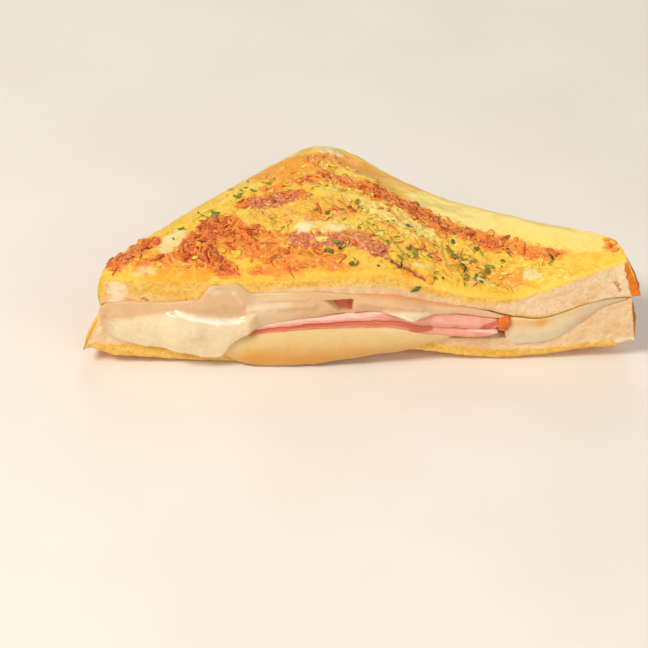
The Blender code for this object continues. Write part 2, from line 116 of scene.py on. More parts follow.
# The melted layers and the ham at the cut: ends along the cut, the length over which each end thins out,
# and (x, size) of how far the edge stands out of the cut face, hangs down and climbs.
CHEESE_UPPER = {
    "ends": (-69.2, 37.0), "tapers": (2.2, 14.0), "columns": 340, "lip": 96,
    "bulge": ((-69, 0.5), (-66, 0.8), (-60, 1.4), (-52, 2.0), (-45, 2.0), (-41, 1.3), (-33, 1.1), (-14, 1.4),
              (-2, 1.2), (5, 1.7), (8, 2.8), (13, 3.0), (16, 2.0), (20, 1.4), (37, 1.0)),
    "droop": ((-69, 4.0), (-66, 4.6), (-62, 3.6), (-58, 2.2), (-46, 2.2), (-41, 3.4), (-37, 3.2), (-33, 1.2),
              (-29, 0.3), (-20, 0.0), (4, 0.0), (7, 0.8), (10, 1.8), (13, 1.9), (16, 0.9),
               (19, 0.1), (37, 0.0)),
    "climb": ((-69, 0.5), (-62, 0.9), (-50, 1.1), (-45.5, 1.2), (-42.6, 1.7), (-41.6, 3.6), (-40.8, 4.3),
              (-36.5, 4.2), (-33.4, 4.3), (-32.2, 3.4), (-30.6, 1.8), (-26, 1.5), (-12, 1.5), (-4, 1.0),
              (8, 1.3), (20, 0.9), (37, 0.5)),
}
CHEESE_LOWER = {
    "ends": (-40.0, 23.0), "tapers": (6.0, 10.0), "columns": 190,
    "bulge": ((-40, 1.0), (-34, 1.8), (-28, 2.5), (-14, 2.9), (2, 2.5), (12, 1.7), (23, 1.0)),
    "droop": ((-40, 3.2), (-35, 5.2), (-28, 6.8), (-14, 6.4), (2, 4.4), (12, 3.2), (18, 1.6), (23, 0.4)),
    "climb": ((-40, 0.3), (-30, 0.2), (23, 0.2)),
}
CHEESE_RIGHT = {
    "ends": (36.6, 68.0), "tapers": (3.0, 9.0), "columns": 100,
    "bulge": ((36, 0.5), (40, 0.55), (48, 0.35), (56, 0.2), (68, 0.1)),
    "droop": ((36, 0.8), (40, 2.2), (46, 2.6), (54, 2.0), (61, 0.8), (68, 0.0)),
    "climb": ((36, 0.0), (44, 0.1), (52, 0.35), (60, 0.5), (68, 0.5)),
}
HAM_LONG = {
    "ends": (-31.0, 35.4), "tapers": (9.0, 2.2), "columns": 200,
    "bulge": ((-31, 0.6), (-20, 1.0), (-8, 1.2), (4, 1.2), (14, 1.5), (26, 1.6), (35, 1.1)),
    "droop": ((-31, 0.0), (35, 0.0)), "climb": ((-31, 0.1), (0, 0.2), (20, 0.5), (35, 0.2)),
}
HAM_LEFT = {
    "ends": (-34.5, 14.0), "tapers": (4.0, 4.0), "columns": 150,
    "bulge": ((-34, 0.9), (-20, 0.8), (0, 1.0), (14, 0.7)),
    "droop": ((-34, 0.2), (14, 0.0)), "climb": ((-34, 0.2), (14, 0.1)),
}
HAM_RIGHT = {
    "ends": (9.0, 35.0), "tapers": (4.0, 2.0), "columns": 100,
    "bulge": ((9, 0.8), (20, 1.3), (30, 2.0), (35, 1.4)),
    "droop": ((9, 0.0), (16, 0.6), (20, 0.2), (28, 0.5), (35, 0.3)), "climb": ((9, 0.1), (35, 0.2)),
}

# Browning of the fried top, as capsules (x, y, x, y, radius, strength).
BROWNED = (
    (-64, 5, -56, 14, 3.4, 0.9), (-58, 3, -51, 7, 2.4, 0.75), (-47, 9, -38, 19, 4.6, 0.95),
    (-41, 8, -35, 1, 3.0, 0.95), (-37, 21, -31, 12, 4.8, 0.8), (-31, 11, -22, 6, 4.0, 0.7),
    (-28, 15, -12, 8, 5.0, 0.62), (-22, 4, -8, 4, 3.0, 0.7), (-30, 31, -17, 35, 3.4, 0.8),
    (-17, 14, 0, 13, 4.0, 0.6), (-2, 15, 4, 8, 3.2, 0.6), (-26, 38, -6, 47, 2.2, 0.55),
    (-9, 47.5, 3, 43.6, 3.2, 0.75), (2, 44, 13, 37, 3.8, 0.85), (12, 37.5, 23, 25, 3.8, 0.9),
    (22, 26.5, 36, 18.5, 3.2, 0.85), (34, 19, 51, 9.5, 2.2, 0.75), (2, 6.5, 9, 3, 1.2, 0.9),
    (9, 3, 16, 0.8, 1.1, 0.85), (30, 8, 44, 4, 3.4, 0.4), (63, 6, 65, 9, 1.4, 0.8),
    (-29, 1.8, -17, 1.6, 1.6, 0.75),
    (-14, 55, -9, 61, 1.6, 0.75), (-14, 24, -4, 28, 3.4, 0.4), (2, 24, 12, 18, 3.2, 0.26),
    (16, 14, 32, 8, 5.0, 0.34), (-28, 25, -18, 24, 3.0, 0.35), (4, 34, 10, 28, 3.0, 0.3),
)
# Golden tone of the egg, and pale tone, which is partly lighter egg and partly a painted highlight, most of
# all along the right margin where the top faces the light, as (x, y, x, y, radius, strength).
GOLDEN = (
    (-55, 2, -42, 3, 4.0, 0.6), (-24, 48, -4, 60, 6.0, 0.75), (-4, 60, 16, 50, 5.0, 0.6),
    (-20, 26, -6, 30, 6.0, 0.5),
    (-30, 2, 10, 1, 2.6, 0.5), (8, 12, 34, 4, 6.0, 0.35), (-52, 8, -34, 12, 6.0, 0.5),
)
PALE_AND_HIGHLIGHT = ((20, 42, 62, 12, 7.0, 1.0), (10, 52, 24, 42, 4.0, 0.6), (4, 30, 16, 22, 5.0, 0.95),
        (-20, 24, -4, 20, 3.0, 0.6), (-44, 27, -22, 46, 2.6, 0.45), (-30, 27, -10, 27, 2.5, 0.5),
        (-6, 36, 8, 32, 3.0, 0.5))
# Pink grains and cream-coloured lumps, in the same form.
PINK = ((-27, 31, -19, 34, 3.0, 0.7), (-17, 14, -3, 14, 3.4, 0.9), (-3, 14, 3, 9, 3.0, 1.0),
        (-63, 6, -58, 12, 2.4, 0.5), (13, 36, 25, 24.5, 2.0, 0.45))
CREAM = ((-52.0, 10.6, -49.0, 15.6, 2.6, 0.85), (-16.4, 18.8, -14.6, 20.0, 1.9, 0.75),
         (-9.4, 19.0, -7.4, 19.2, 1.7, 0.75), (-9.2, 63.4, -5.2, 64.2, 2.3, 0.85),
         (12.8, 5.6, 15.2, 5.0, 1.2, 0.85), (42.4, 5.2, 44.0, 5.0, 1.6, 1.0), (-60, 1.4, -55, 2.4, 1.4, 0.6),
         (29, 4.6, 31, 4.2, 1.0, 0.6))

# Where herbs lie thick, as (x, y, radius, strength).
HERB_PATCHES = (
    (-23, 42, 1.6, 1.0), (-49.4, 18.8, 1.4, 0.7), (-50.4, 13.9, 1.3, 0.6), (-41.8, 19.4, 1.5, 0.7),
    (-40, 25.5, 2.4, 0.7), (-46.7, 15.3, 1.3, 0.6), (-26.9, 13.2, 1.7, 0.9), (-10.6, 26.6, 1.8, 0.7),
    (-2.3, 30, 2.2, 0.5), (-6.4, 8.6, 2.4, 1.0), (-12, 7.6, 2.4, 0.6), (7.8, 6.6, 2.2, 0.9),
    (11.9, 12.3, 2.4, 0.8), (20.7, 19.2, 2.0, 0.9), (24, 11.8, 2.4, 1.2), (24.7, 5.9, 2.4, 1.6),
    (28.7, 5.7, 2.0, 1.4), (31.8, 9.4, 2.2, 0.9), (18.9, 1.8, 1.5, 0.6), (36, 11, 2.2, 0.7),
    (48.5, 6.7, 1.5, 0.7), (-1.9, 2.1, 1.5, 0.5), (-15.5, 0.9, 1.4, 0.6), (4, 13.7, 2.0, 0.8),
    (0.6, 20.9, 2.0, 0.5), (10, 23, 2.6, 0.4), (16, 16, 3.2, 0.4), (-31, 37, 3.5, 0.35),
    (30, 14, 3.0, 0.35), (-20, 28, 6.0, 0.05), (10, 10, 16.0, 0.05),
)

# Where the rough browned ground ends: the width of the smooth margin along each crust side.
LEFT_MARGIN = 6.5
RIGHT_MARGIN = 13.5


# Curves, steps and distances


def curve(stations):
    """A smooth curve through (x, value) stations, level outside them."""
    xs, values = np.array(stations, float).T
    slopes = np.gradient(values, xs)

    def value(x):
        x = np.clip(x, xs[0], xs[-1])
        i = np.clip(np.searchsorted(xs, x) - 1, 0, len(xs) - 2)
        span = xs[i + 1] - xs[i]
        t = (x - xs[i]) / span
        start = (1 + 2 * t) * (1 - t) ** 2 * values[i] + t * (1 - t) ** 2 * span * slopes[i]
        end = t * t * (3 - 2 * t) * values[i + 1] + t * t * (t - 1) * span * slopes[i + 1]
        return start + end

    return value


def smooth(t):
    """0 to 1 with level ends."""
    t = np.clip(t, 0.0, 1.0)
    return t * t * (3 - 2 * t)


def rise(x, start, width):
    """0 up to start, and 1 from a width further on."""
    return smooth((x - start) / width)


def fall(x, end, width):
    """1 until a width before end, and 0 from end on."""
    return smooth((end - x) / width)


def span(x, start, end, rising, falling):
    """0 outside start and end, and 1 between them, over the widths of its rise and its fall."""
    return rise(x, start, rising) * fall(x, end, falling)


def from_line(x, y, x0, y0, x1, y1):
    """The distance from a short straight line."""
    span_x, span_y = x1 - x0, y1 - y0
    length = max(span_x**2 + span_y**2, 1e-6)
    along = np.clip(((x - x0) * span_x + (y - y0) * span_y) / length, 0.0, 1.0)
    return np.hypot(x - x0 - along * span_x, y - y0 - along * span_y)


def capsules(x, y, shapes, softness):
    """The strongest of (x, y, x, y, radius, strength) capsules at each place, with soft edges."""
    strongest = np.zeros(np.shape(x))
    for *line, radius, strength in shapes:
        inside = fall(from_line(x, y, *line), radius + softness, 2 * softness)
        strongest = np.maximum(strongest, strength * inside)
    return strongest


def ridges(x, y, shapes):
    """The sum of (x, y, x, y, width, height) ridges at each place."""
    return sum(height * np.exp(-((from_line(x, y, *line) / width) ** 2)) for *line, width, height in shapes)


# The slices' form


def crust_outline():
    """Close points of the crust side, from the left end of the cut round the corner to the right end."""
    hypotenuse = math.hypot(LEFT_LEG, RIGHT_LEG)
    foot = LEFT_LEG**2 / hypotenuse
    height = LEFT_LEG * RIGHT_LEG / hypotenuse
    left, corner, right = np.array([[-foot, 0.0], [0.0, height], [hypotenuse - foot, 0.0]])
    up = (corner - left) / LEFT_LEG
    down = (right - corner) / RIGHT_LEG
    across_up, across_down = np.array([-up[1], up[0]]), np.array([-down[1], down[0]])
    start_turn, end_turn = math.atan2(*across_up[::-1]), math.atan2(*across_down[::-1])

    def arc(centre, first, last):
        turn = np.linspace(first, last, ARC_POINTS)
        return centre + CORNER_RADIUS * np.stack([np.cos(turn), np.sin(turn)], 1)

    left_centre = left + CORNER_RADIUS * (up + down)
    right_centre = right - CORNER_RADIUS * (up + down)
    top_centre = corner + CORNER_RADIUS * (down - up)
    points = np.concatenate([
        arc(left_centre, math.pi + math.asin(left_centre[1] / CORNER_RADIUS), start_turn),
        arc(top_centre, start_turn, end_turn),
        arc(right_centre, end_turn, -math.asin(right_centre[1] / CORNER_RADIUS)),
    ])
    points[:, 0] -= (points[0, 0] + points[-1, 0]) / 2
    return points


OUTLINE = crust_outline()
CORNER_X = OUTLINE[np.argmax(OUTLINE[:, 1]), 0]


def crust_points(count):
    """count points of the crust side at even distances, and the outward direction at each."""
    steps = np.linalg.norm(np.diff(OUTLINE, axis=0), axis=1)
    along = np.concatenate([[0.0], np.cumsum(steps)]) / steps.sum()
    where = np.linspace(END_TRIM, 1 - END_TRIM, count)
    points = np.stack([np.interp(where, along, OUTLINE[:, k]) for k in (0, 1)], 1)
    slope = np.gradient(points, axis=0)
    outward = np.stack([-slope[:, 1], slope[:, 0]], 1)
    return points, outward / np.linalg.norm(outward, axis=1)[:, None]


def depth_at(x):
    """How far back the crust side lies at x."""
    return np.interp(x, OUTLINE[:, 0], OUTLINE[:, 1])


def from_crust(x, y):
    """The distance from the crust side."""
    nearest = np.inf
    for start, end in zip(OUTLINE[:-1], OUTLINE[1:]):
        nearest = np.minimum(nearest, from_line(x, y, *start, *end))
    return nearest


def seam_share(x, y):
    """1 at the crust, where the slices are pressed together, and 0 at the cut and over the filling."""
    return (1 - smooth(from_crust(x, y) / SEAM_REACH)) * smooth(y / SEAM_REACH)


def underside(x, y):
    """The base: flat but for its cut edge and its crust edge."""
    at_cut = np.maximum(curve(UNDERSIDE)(x), 0.0) * (1 - smooth(y / UNDERSIDE_REACH))
    return at_cut + BASE_EDGE_LIFT * (1 - smooth(from_crust(x, y) / EDGE_ROUND))


def lower_slice_top(x, y):
    """The inner face of the lower slice."""
    share = seam_share(x, y)
    return curve(LOWER_SLICE_TOP)(x) * (1 - share) + (curve(CRUST_SEAM)(x) - SEAM_CLEARANCE / 2) * share


def upper_slice_underside(x, y):
    """The inner face of the upper slice."""
    share = seam_share(x, y)
    return curve(UPPER_SLICE_UNDERSIDE)(x) * (1 - share) + (curve(CRUST_SEAM)(x) + SEAM_CLEARANCE / 2) * share


def upper_slice_top(x, y):
    """The fried top with its swell and its lumps, without its finer relief."""
    share = y / np.maximum(depth_at(x), 1.0)
    level = curve(UPPER_SLICE_TOP)(x) * (1 - smooth(share)) + curve(CRUST_TOP)(x) * smooth(share)
    inside = smooth(from_crust(x, y) / EDGE_ROUND)
    swell = SWELL * 4 * share * (1 - share) * smooth(depth_at(x) / SWELL_DEPTH)
    lumps = np.empty(np.shape(x))
    for i in np.ndindex(lumps.shape):
        lumps[i] = lump_noise.noise(Vector((x[i], y[i], 0.0)) / LUMP_SIZE)
    edge_drop = TOP_EDGE_DROP * (1 - CORNER_SHARPNESS * rise(x, *SHARP_CORNER))
    return level + swell - edge_drop * (1 - inside) ** 2 + LUMP_HEIGHT * lumps * inside


def filling_height(stations, x, y):
    """A layer's height behind the cut, which keeps its share of the room between the slices."""
    bottom, top = curve(LOWER_SLICE_TOP)(x), curve(UPPER_SLICE_UNDERSIDE)(x)
    share = (curve(stations)(x) - bottom) / (top - bottom)
    low, high = lower_slice_top(x, y), upper_slice_underside(x, y)
    return low + np.clip(share, 0.0, 1.0) * (high - low)


# Noise for the relief


def scrambled(seed, cells):
    """A repeatable random number from 0 to 1 for each row of whole numbers."""
    mixed = np.full(cells.shape[:-1], seed * 7919 + 17, np.uint32)
    for k in range(cells.shape[-1]):
        mixed = (mixed ^ cells[..., k].astype(np.uint32)) * np.uint32(2654435761)
        mixed ^= mixed >> np.uint32(15)
        mixed *= np.uint32(2246822519)
        mixed ^= mixed >> np.uint32(13)
    return mixed / 2.0**32


def noise(places, size, seed=0):
    """Smooth noise from about -1 to 1, with bumps of that size."""
    scaled = places / size
    cell = np.floor(scaled)
    part = scaled - cell
    cell = cell.astype(np.int64)
    fade = part**3 * (part * (6 * part - 15) + 10)
    total = np.zeros(places.shape[:-1])
    for corner in np.ndindex(2, 2, 2):
        turn = scrambled(seed, cell + corner) * 2 * math.pi
        lift = 2 * scrambled(seed + 101, cell + corner) - 1
        flat = np.sqrt(1 - lift**2)
        away = part - corner
        slope = flat * (np.cos(turn) * away[..., 0] + np.sin(turn) * away[..., 1]) + lift * away[..., 2]
        weight = np.where(corner, fade, 1 - fade).prod(-1)
        total += weight * slope
    return total * 1.7


def layered(one, octaves, fading):
    """The mean of one(0), one(1) and so on, each weaker than the last."""
    weights = [fading**-k for k in range(octaves)]
    return sum(one(k) * weight for k, weight in enumerate(weights)) / sum(weights)


def rough(places, size, octaves, seed=0):
    """Noise with finer and finer bumps on it, from about -1 to 1."""
    return 1.3 * layered(lambda k: noise(places, size / 2**k, seed + k), octaves, 1.8)


def ridged(places, size, octaves, seed=0):
    """0 in the hollows and 1 along thin crests."""
    return layered(lambda k: 1 - np.minimum(np.abs(noise(places, size / 2**k, seed + k)) * 2, 1), octaves, 2)


def pore_distance(places, spacing, seed):
    """The distance to the nearest of scattered pore middles, as a share of their spacing."""
    scaled = places / spacing
    cell = np.floor(scaled).astype(np.int64)
    nearest = np.full(places.shape[:-1], np.inf)
    for step in np.ndindex(3, 3, 3):
        there = cell + np.array(step) - 1
        middle = there + np.stack([scrambled(seed + k, there) for k in range(3)], -1)
        nearest = np.minimum(nearest, ((middle - scaled) ** 2).sum(-1))
    return np.sqrt(nearest)


# Meshes


def linked(name, data):
    """A new object of the scene."""
    made = bpy.data.objects.new(name, data)
    bpy.context.scene.collection.objects.link(made)
    return made


def lofted(name, points):
    """A smooth closed mesh through rings of points in metres, turned outwards."""
    count, size = points.shape[:2]
    i, j = np.meshgrid(np.arange(count - 1), np.arange(size), indexing="ij")
    after = (j + 1) % size
    quads = np.stack([i * size + j, i * size + after, (i + 1) * size + after, (i + 1) * size + j], -1)
    quads = quads.reshape(-1, 4)
    polygons = [quads, np.arange(size)[::-1][None], (count - 1) * size + np.arange(size)[None]]
    corner = points.reshape(-1, 3)[quads]
    if sum((corner[:, 0] * np.cross(corner[:, k], corner[:, k + 1])).sum() for k in (1, 2)) < 0:
        polygons = [p[:, ::-1] for p in polygons]
    sizes = np.concatenate([np.full(len(p), p.shape[1]) for p in polygons])
    starts = np.concatenate([[0], np.cumsum(sizes)[:-1]])
    mesh = bpy.data.meshes.new(name)
    mesh.vertices.add(count * size)
    mesh.vertices.foreach_set("co", points.astype(np.float32).ravel())
    mesh.loops.add(sizes.sum())
    mesh.loops.foreach_set("vertex_index", np.concatenate([p.ravel() for p in polygons]).astype(np.int32))
    mesh.polygons.add(len(sizes))
    mesh.polygons.foreach_set("loop_start", starts.astype(np.int32))
    mesh.update(calc_edges=True)
    mesh.shade_smooth()
    return mesh


def build(name, points, coat, attributes):
    """A finished object lofted through rings of points in millimetres, with painted attributes."""
    mesh = lofted(name, (points - MIDDLE) * MM)
    for attribute, values in attributes.items():
        mesh.attributes.new(attribute, "FLOAT_COLOR", "POINT").data.foreach_set("color", values.ravel())
    mesh.materials.append(coat)
    return linked(name, mesh)


def painted(red, green, blue):
    """Three shares as a painted colour."""
    shares = np.stack([np.broadcast_to(k, np.shape(red)) for k in (red, green, blue, 1.0)], -1)
    return np.clip(shares, 0.0, 1.0).astype(np.float32)


def normals(points):
    """The outward direction at each point of a loft, from its neighbours."""
    along = np.gradient(points, axis=0)
    around = np.roll(points, -1, axis=1) - np.roll(points, 1, axis=1)
    outward = np.cross(along, around)
    outward = outward / np.maximum(np.linalg.norm(outward, axis=-1, keepdims=True), 1e-9)
    middle = points.mean(axis=1, keepdims=True)
    return -outward if ((points - middle) * outward).sum() < 0 else outward


def raised(rings, height):
    """Rings with each point moved outwards by its height."""
    return rings + normals(rings) * height[..., None]


def slice_skin(grid, surfaces, insets, rounds):
    """Rings of a bread slice: its base, its cut, its top and its crust."""
    columns, base_rows, cut_rows, top_rows, crust_rows = grid
    edge, outward = crust_points(columns)
    insets, rounds = ([curve(stations) for stations in pair] for pair in (insets, rounds))

    def face(which, shares):
        """The base or the top, rounded over at the cut."""
        inner = edge - outward * insets[which](edge[:, 0])[:, None]
        inner[:, 1] = np.maximum(inner[:, 1], LEAST_DEPTH_SHARE * edge[:, 1])
        radius = np.minimum(rounds[which](inner[:, :1]), inner[:, 1:] * MOST_ROUND_SHARE)
        start = radius * (1 - DIAGONAL)
        y = start + (inner[:, 1:] - start) * shares
        x = np.repeat(inner[:, :1], len(shares), 1)
        back = np.clip(radius - y, 0.0, radius)
        rounded = radius - np.sqrt(np.maximum(radius**2 - back**2, 0.0))
        return np.stack([x, y, surfaces[which](x, y) + (1 - 2 * which) * rounded], 2)

    def joined(start, end, rows):
        """Straight rows from one face to the other, and each row's share of the way."""
        shares = np.linspace(0, 1, rows + 2)[1:-1, None]
        return start + (end - start) * shares, shares

    base = face(0, np.linspace(1, 0, base_rows) ** BASE_ROW_SPREAD)
    top = face(1, 1 - np.linspace(1, 0, top_rows) ** TOP_ROW_SPREAD)
    cut, _ = joined(base[:, -1:], top[:, :1], cut_rows)
    cut[:, :, 1] = 0.0
    for corner, side, radius in ((base[:, -1:], 1, rounds[0]), (top[:, :1], -1, rounds[1])):
        gap = side * (cut[:, :, 2] - corner[:, :, 2])
        radius = np.minimum(radius(edge[:, :1]), corner[:, :, 1] / (1 - DIAGONAL))
        left = np.clip(radius * DIAGONAL - gap, 0.0, radius)
        curved = radius - np.sqrt(np.maximum(radius**2 - left**2, 0.0))
        cut[:, :, 1] = np.where(gap < radius * DIAGONAL, curved, cut[:, :, 1])
    crust, shares = joined(top[:, -1:], base[:, :1], crust_rows)
    crust[:, :, :2] += outward[:, None] * CRUST_BULGE * np.sin(math.pi * shares)
    return np.concatenate([base, cut, top, crust], 1)


def soft_parts(grid, blur):
    """How much each ring point belongs to the base, cut, top and crust of a slice, fading over some rows."""
    kernel = np.ones(2 * blur + 1) / (2 * blur + 1)
    for which in range(4):
        member = (np.repeat(range(4), grid[1:]) == which).astype(float)
        around = np.concatenate([member[-blur:], member, member[:blur]])
        yield np.broadcast_to(np.convolve(around, kernel, "valid"), (grid[0], len(member)))


# The profile of a lip, as shares of (reach, extra reach where it doesn't hang, drop, rise, climb).
LIP = np.array([
    (0.0, 0.05, 0.0, 0.0, 0.0), (0.0, 0.15, 0.55, 0.0, 0.0), (0.12, 0.2, 0.92, 0.0, 0.0),
    (0.62, 0.0, 1.0, 0.0, 0.0), (0.94, 0.0, 1.0, 0.22, 0.0), (1.0, 0.0, 1.0, 0.48, 0.12),
    (0.86, 0.0, 1.0, 0.74, 0.42), (0.6, 0.0, 1.0, 0.92, 0.78), (0.34, 0.0, 1.0, 1.0, 0.97),
    (0.05, 0.0, 1.0, 1.0, 1.05), (-0.2, 0.0, 1.0, 1.0, 0.9), (-0.2, 0.0, 1.0, 1.0, 0.0),
])
LIP_POINTS = 40
LAYER_ROWS = 9
LAYER_ROW_SPREAD = 1.2
THINNEST_END = 0.03
END_DEPTH_SHARE = 0.3


def layer_skin(layer, surfaces, depth_of):
    """Rings of a filling layer with a cut edge that stands out, and each point's share of that edge."""
    (first, last), (left_taper, right_taper) = layer["ends"], layer["tapers"]
    x = np.linspace(first, last, layer["columns"])
    near = np.minimum((x - first) / left_taper, (last - x) / right_taper)
    kept = np.maximum(np.sqrt(1 - (1 - np.clip(near, 0.0, 1.0)) ** 2), THINNEST_END)
    where = np.linspace(0, len(LIP) - 1, layer.get("lip", LIP_POINTS))
    profile = np.stack([curve(np.stack([range(len(LIP)), column], 1))(where) for column in LIP.T], 1)

    def faces(y):
        low, high = (surface(x, y) for surface in surfaces)
        middle = (low + high) / 2
        return middle + (low - middle) * kept, middle + (high - middle) * kept

    out, hang, up = (curve(layer[k])(x) for k in ("bulge", "droop", "climb"))
    out, hang, up = out * kept**0.7, hang * kept, up * kept
    rear = depth_of(x) * (END_DEPTH_SHARE + (1 - END_DEPTH_SHARE) * kept)
    low, high = faces(0 * x)
    flush = 1 - smooth(hang)
    lip = [(-LAYER_GAP - out * (reach + extra * flush),
            low - hang * drop + (high - low + hang) * rising + up * climb)
           for reach, extra, drop, rising, climb in profile]
    inside = [share * rear for share in np.linspace(1.0, 0.04, LAYER_ROWS) ** LAYER_ROW_SPREAD]
    ring = [(y, faces(y)[0]) for y in inside] + lip + [(y, faces(y)[1]) for y in reversed(inside)]
    front = np.pad(smooth(profile[:, 0] * 1.6), LAYER_ROWS)
    rings = np.stack([np.stack([x, y, z], 1) for y, z in ring], 1)
    return rings, np.broadcast_to(front, rings.shape[:2])


def between(lower, upper):
    """Bottom and top surfaces of a layer between two sets of stations, or a slice where one is None."""

    def bottom(x, y):
        if lower is None:
            return lower_slice_top(x, y) + LAYER_GAP
        return filling_height(lower, x, y) + LAYER_GAP / 2

    def top(x, y):
        if upper is None:
            return upper_slice_underside(x, y) - LAYER_GAP
        return filling_height(upper, x, y) - LAYER_GAP / 2

    return bottom, top


def filling_depth(x):
    """How far a cheese layer runs back, clear of where the slices are pressed together."""
    return np.maximum(depth_at(x) - FILLING_INSET, 2.0)


def ham_depth(ends):
    """A ham slice's depth, least at its ends so that its back is round."""
    middle, half = (ends[0] + ends[1]) / 2, (ends[1] - ends[0]) / 2

    def depth(x):
        roundness = np.sqrt(np.clip(1 - ((x - middle) / half) ** 2, 0.0, 1.0))
        return np.minimum(HAM_END_DEPTH + (HAM_DEPTH - HAM_END_DEPTH) * roundness, filling_depth(x) - 1.0)

    return depth


# Materials


def colour(code):
    """A colour written as six hexadecimal digits, as linear red, green, blue and alpha."""
    shares = [int(code[k:k + 2], 16) / 255 for k in (0, 2, 4)]
    return (*(s / 12.92 if s <= 0.04045 else ((s + 0.055) / 1.055) ** 2.4 for s in shares), 1.0)


class Shade:
    """A socket of a node tree, which adds, multiplies and mixes like a number. Colours may be six digits."""

    def __init__(self, tree, socket=None):
        self.tree = tree
        self.socket = socket

    def node(self, kind, settings, inputs, output=0):
        made = self.tree.nodes.new(kind)
        for name, value in settings.items():
            setattr(made, name, value)
        for key, value in inputs.items():
            if isinstance(value, Shade):
                self.tree.links.new(value.socket, made.inputs[key])
            else:
                made.inputs[key].default_value = value
        return Shade(self.tree, made.outputs[output])

    def math(self, operation, *values):
        return self.node("ShaderNodeMath", {"operation": operation}, dict(enumerate(values)))

    def __add__(self, other):
        return self.math("ADD", self, other)

    def __sub__(self, other):
        return self.math("SUBTRACT", self, other)

    def __mul__(self, other):
        return self.math("MULTIPLY", self, other)

    def __rsub__(self, other):
        return self.math("SUBTRACT", other, self)

    __radd__ = __add__
    __rmul__ = __mul__

    def least(self, other):
        return self.math("MINIMUM", self, other)

    def uneven(self, *grains):
        """This with (grain, strength) noises added, each as much down as up."""
        total = self
        for grain, strength in grains:
            total = total + (grain - 0.5) * strength
        return total

    def step(self, low, high):
        """0 below low, 1 above high, and a soft rise between them."""
        return self.node("ShaderNodeMapRange", {"interpolation_type": "SMOOTHSTEP"},
                         {"Value": self, "From Min": low, "From Max": high})

    def paint(self, below, above, most=None):
        """Colour below where this is 0, and above where it is 1, or its most."""
        share = self if most is None else self.least(most)
        below, above = (colour(k) if isinstance(k, str) else k for k in (below, above))
        return self.node("ShaderNodeMix", {"data_type": "RGBA"}, {0: share, 6: below, 7: above}, 2)

    def ramp(self, *stops):
        """Colours along (place, colour) stops."""
        made = self.node("ShaderNodeValToRGB", {}, {"Fac": self})
        ramp = made.socket.node.color_ramp
        for k, (place, code) in enumerate(stops):
            stop = ramp.elements[k] if k < 2 else ramp.elements.new(place)
            stop.position, stop.color = place, colour(code)
        return made

    def attribute(self, name):
        """The red, green and blue shares of a painted attribute."""
        found = self.node("ShaderNodeAttribute", {"attribute_name": name}, {}, "Color")
        return [self.node("ShaderNodeSeparateColor", {}, {"Color": found}, k) for k in range(3)]

    def places(self):
        """Object coordinates, in metres."""
        return self.node("ShaderNodeTexCoord", {}, {}, "Object")

    def stretched(self, turn, scale):
        """These coordinates turned about Z and scaled along each axis."""
        return self.node("ShaderNodeMapping", {"vector_type": "TEXTURE"},
                         {"Vector": self, "Rotation": (0.0, 0.0, turn), "Scale": scale})

    def grain(self, size, detail=2.0, roughness=0.5, distortion=0.0):
        """Noise from 0 to 1 at these coordinates, with bumps of that size in millimetres."""
        return self.node("ShaderNodeTexNoise", {}, {
            "Vector": self, "Scale": 1 / (size * MM), "Detail": detail, "Roughness": roughness,
            "Distortion": distortion})

    def holes(self, size):
        """The distance to the nearest of scattered middles, as a share of that size in millimetres."""
        return self.node("ShaderNodeTexVoronoi", {}, {"Vector": self, "Scale": 1 / (size * MM)}, "Distance")

    def bump(self, distance, strength):
        """A normal pushed out by this height, with distance in millimetres for a height of 1."""
        return self.node("ShaderNodeBump", {}, {
            "Height": self, "Distance": distance * MM, "Strength": strength})


def finish(name, paint):
    """A material whose shader sockets are what paint returns for its nodes."""
    made = bpy.data.materials.new(name)
    made.use_nodes = True
    shader = made.node_tree.nodes["Principled BSDF"]
    for socket, value in paint(Shade(made.node_tree)).items():
        if isinstance(value, Shade):
            made.node_tree.links.new(value.socket, shader.inputs[socket])
        else:
            shader.inputs[socket].default_value = value
    return made


def translucent(weight, radius, depth):
    """Light that enters a food and leaves it again, with its depth in millimetres."""
    return {"Subsurface Weight": weight, "Subsurface Radius": radius, "Subsurface Scale": depth * MM}


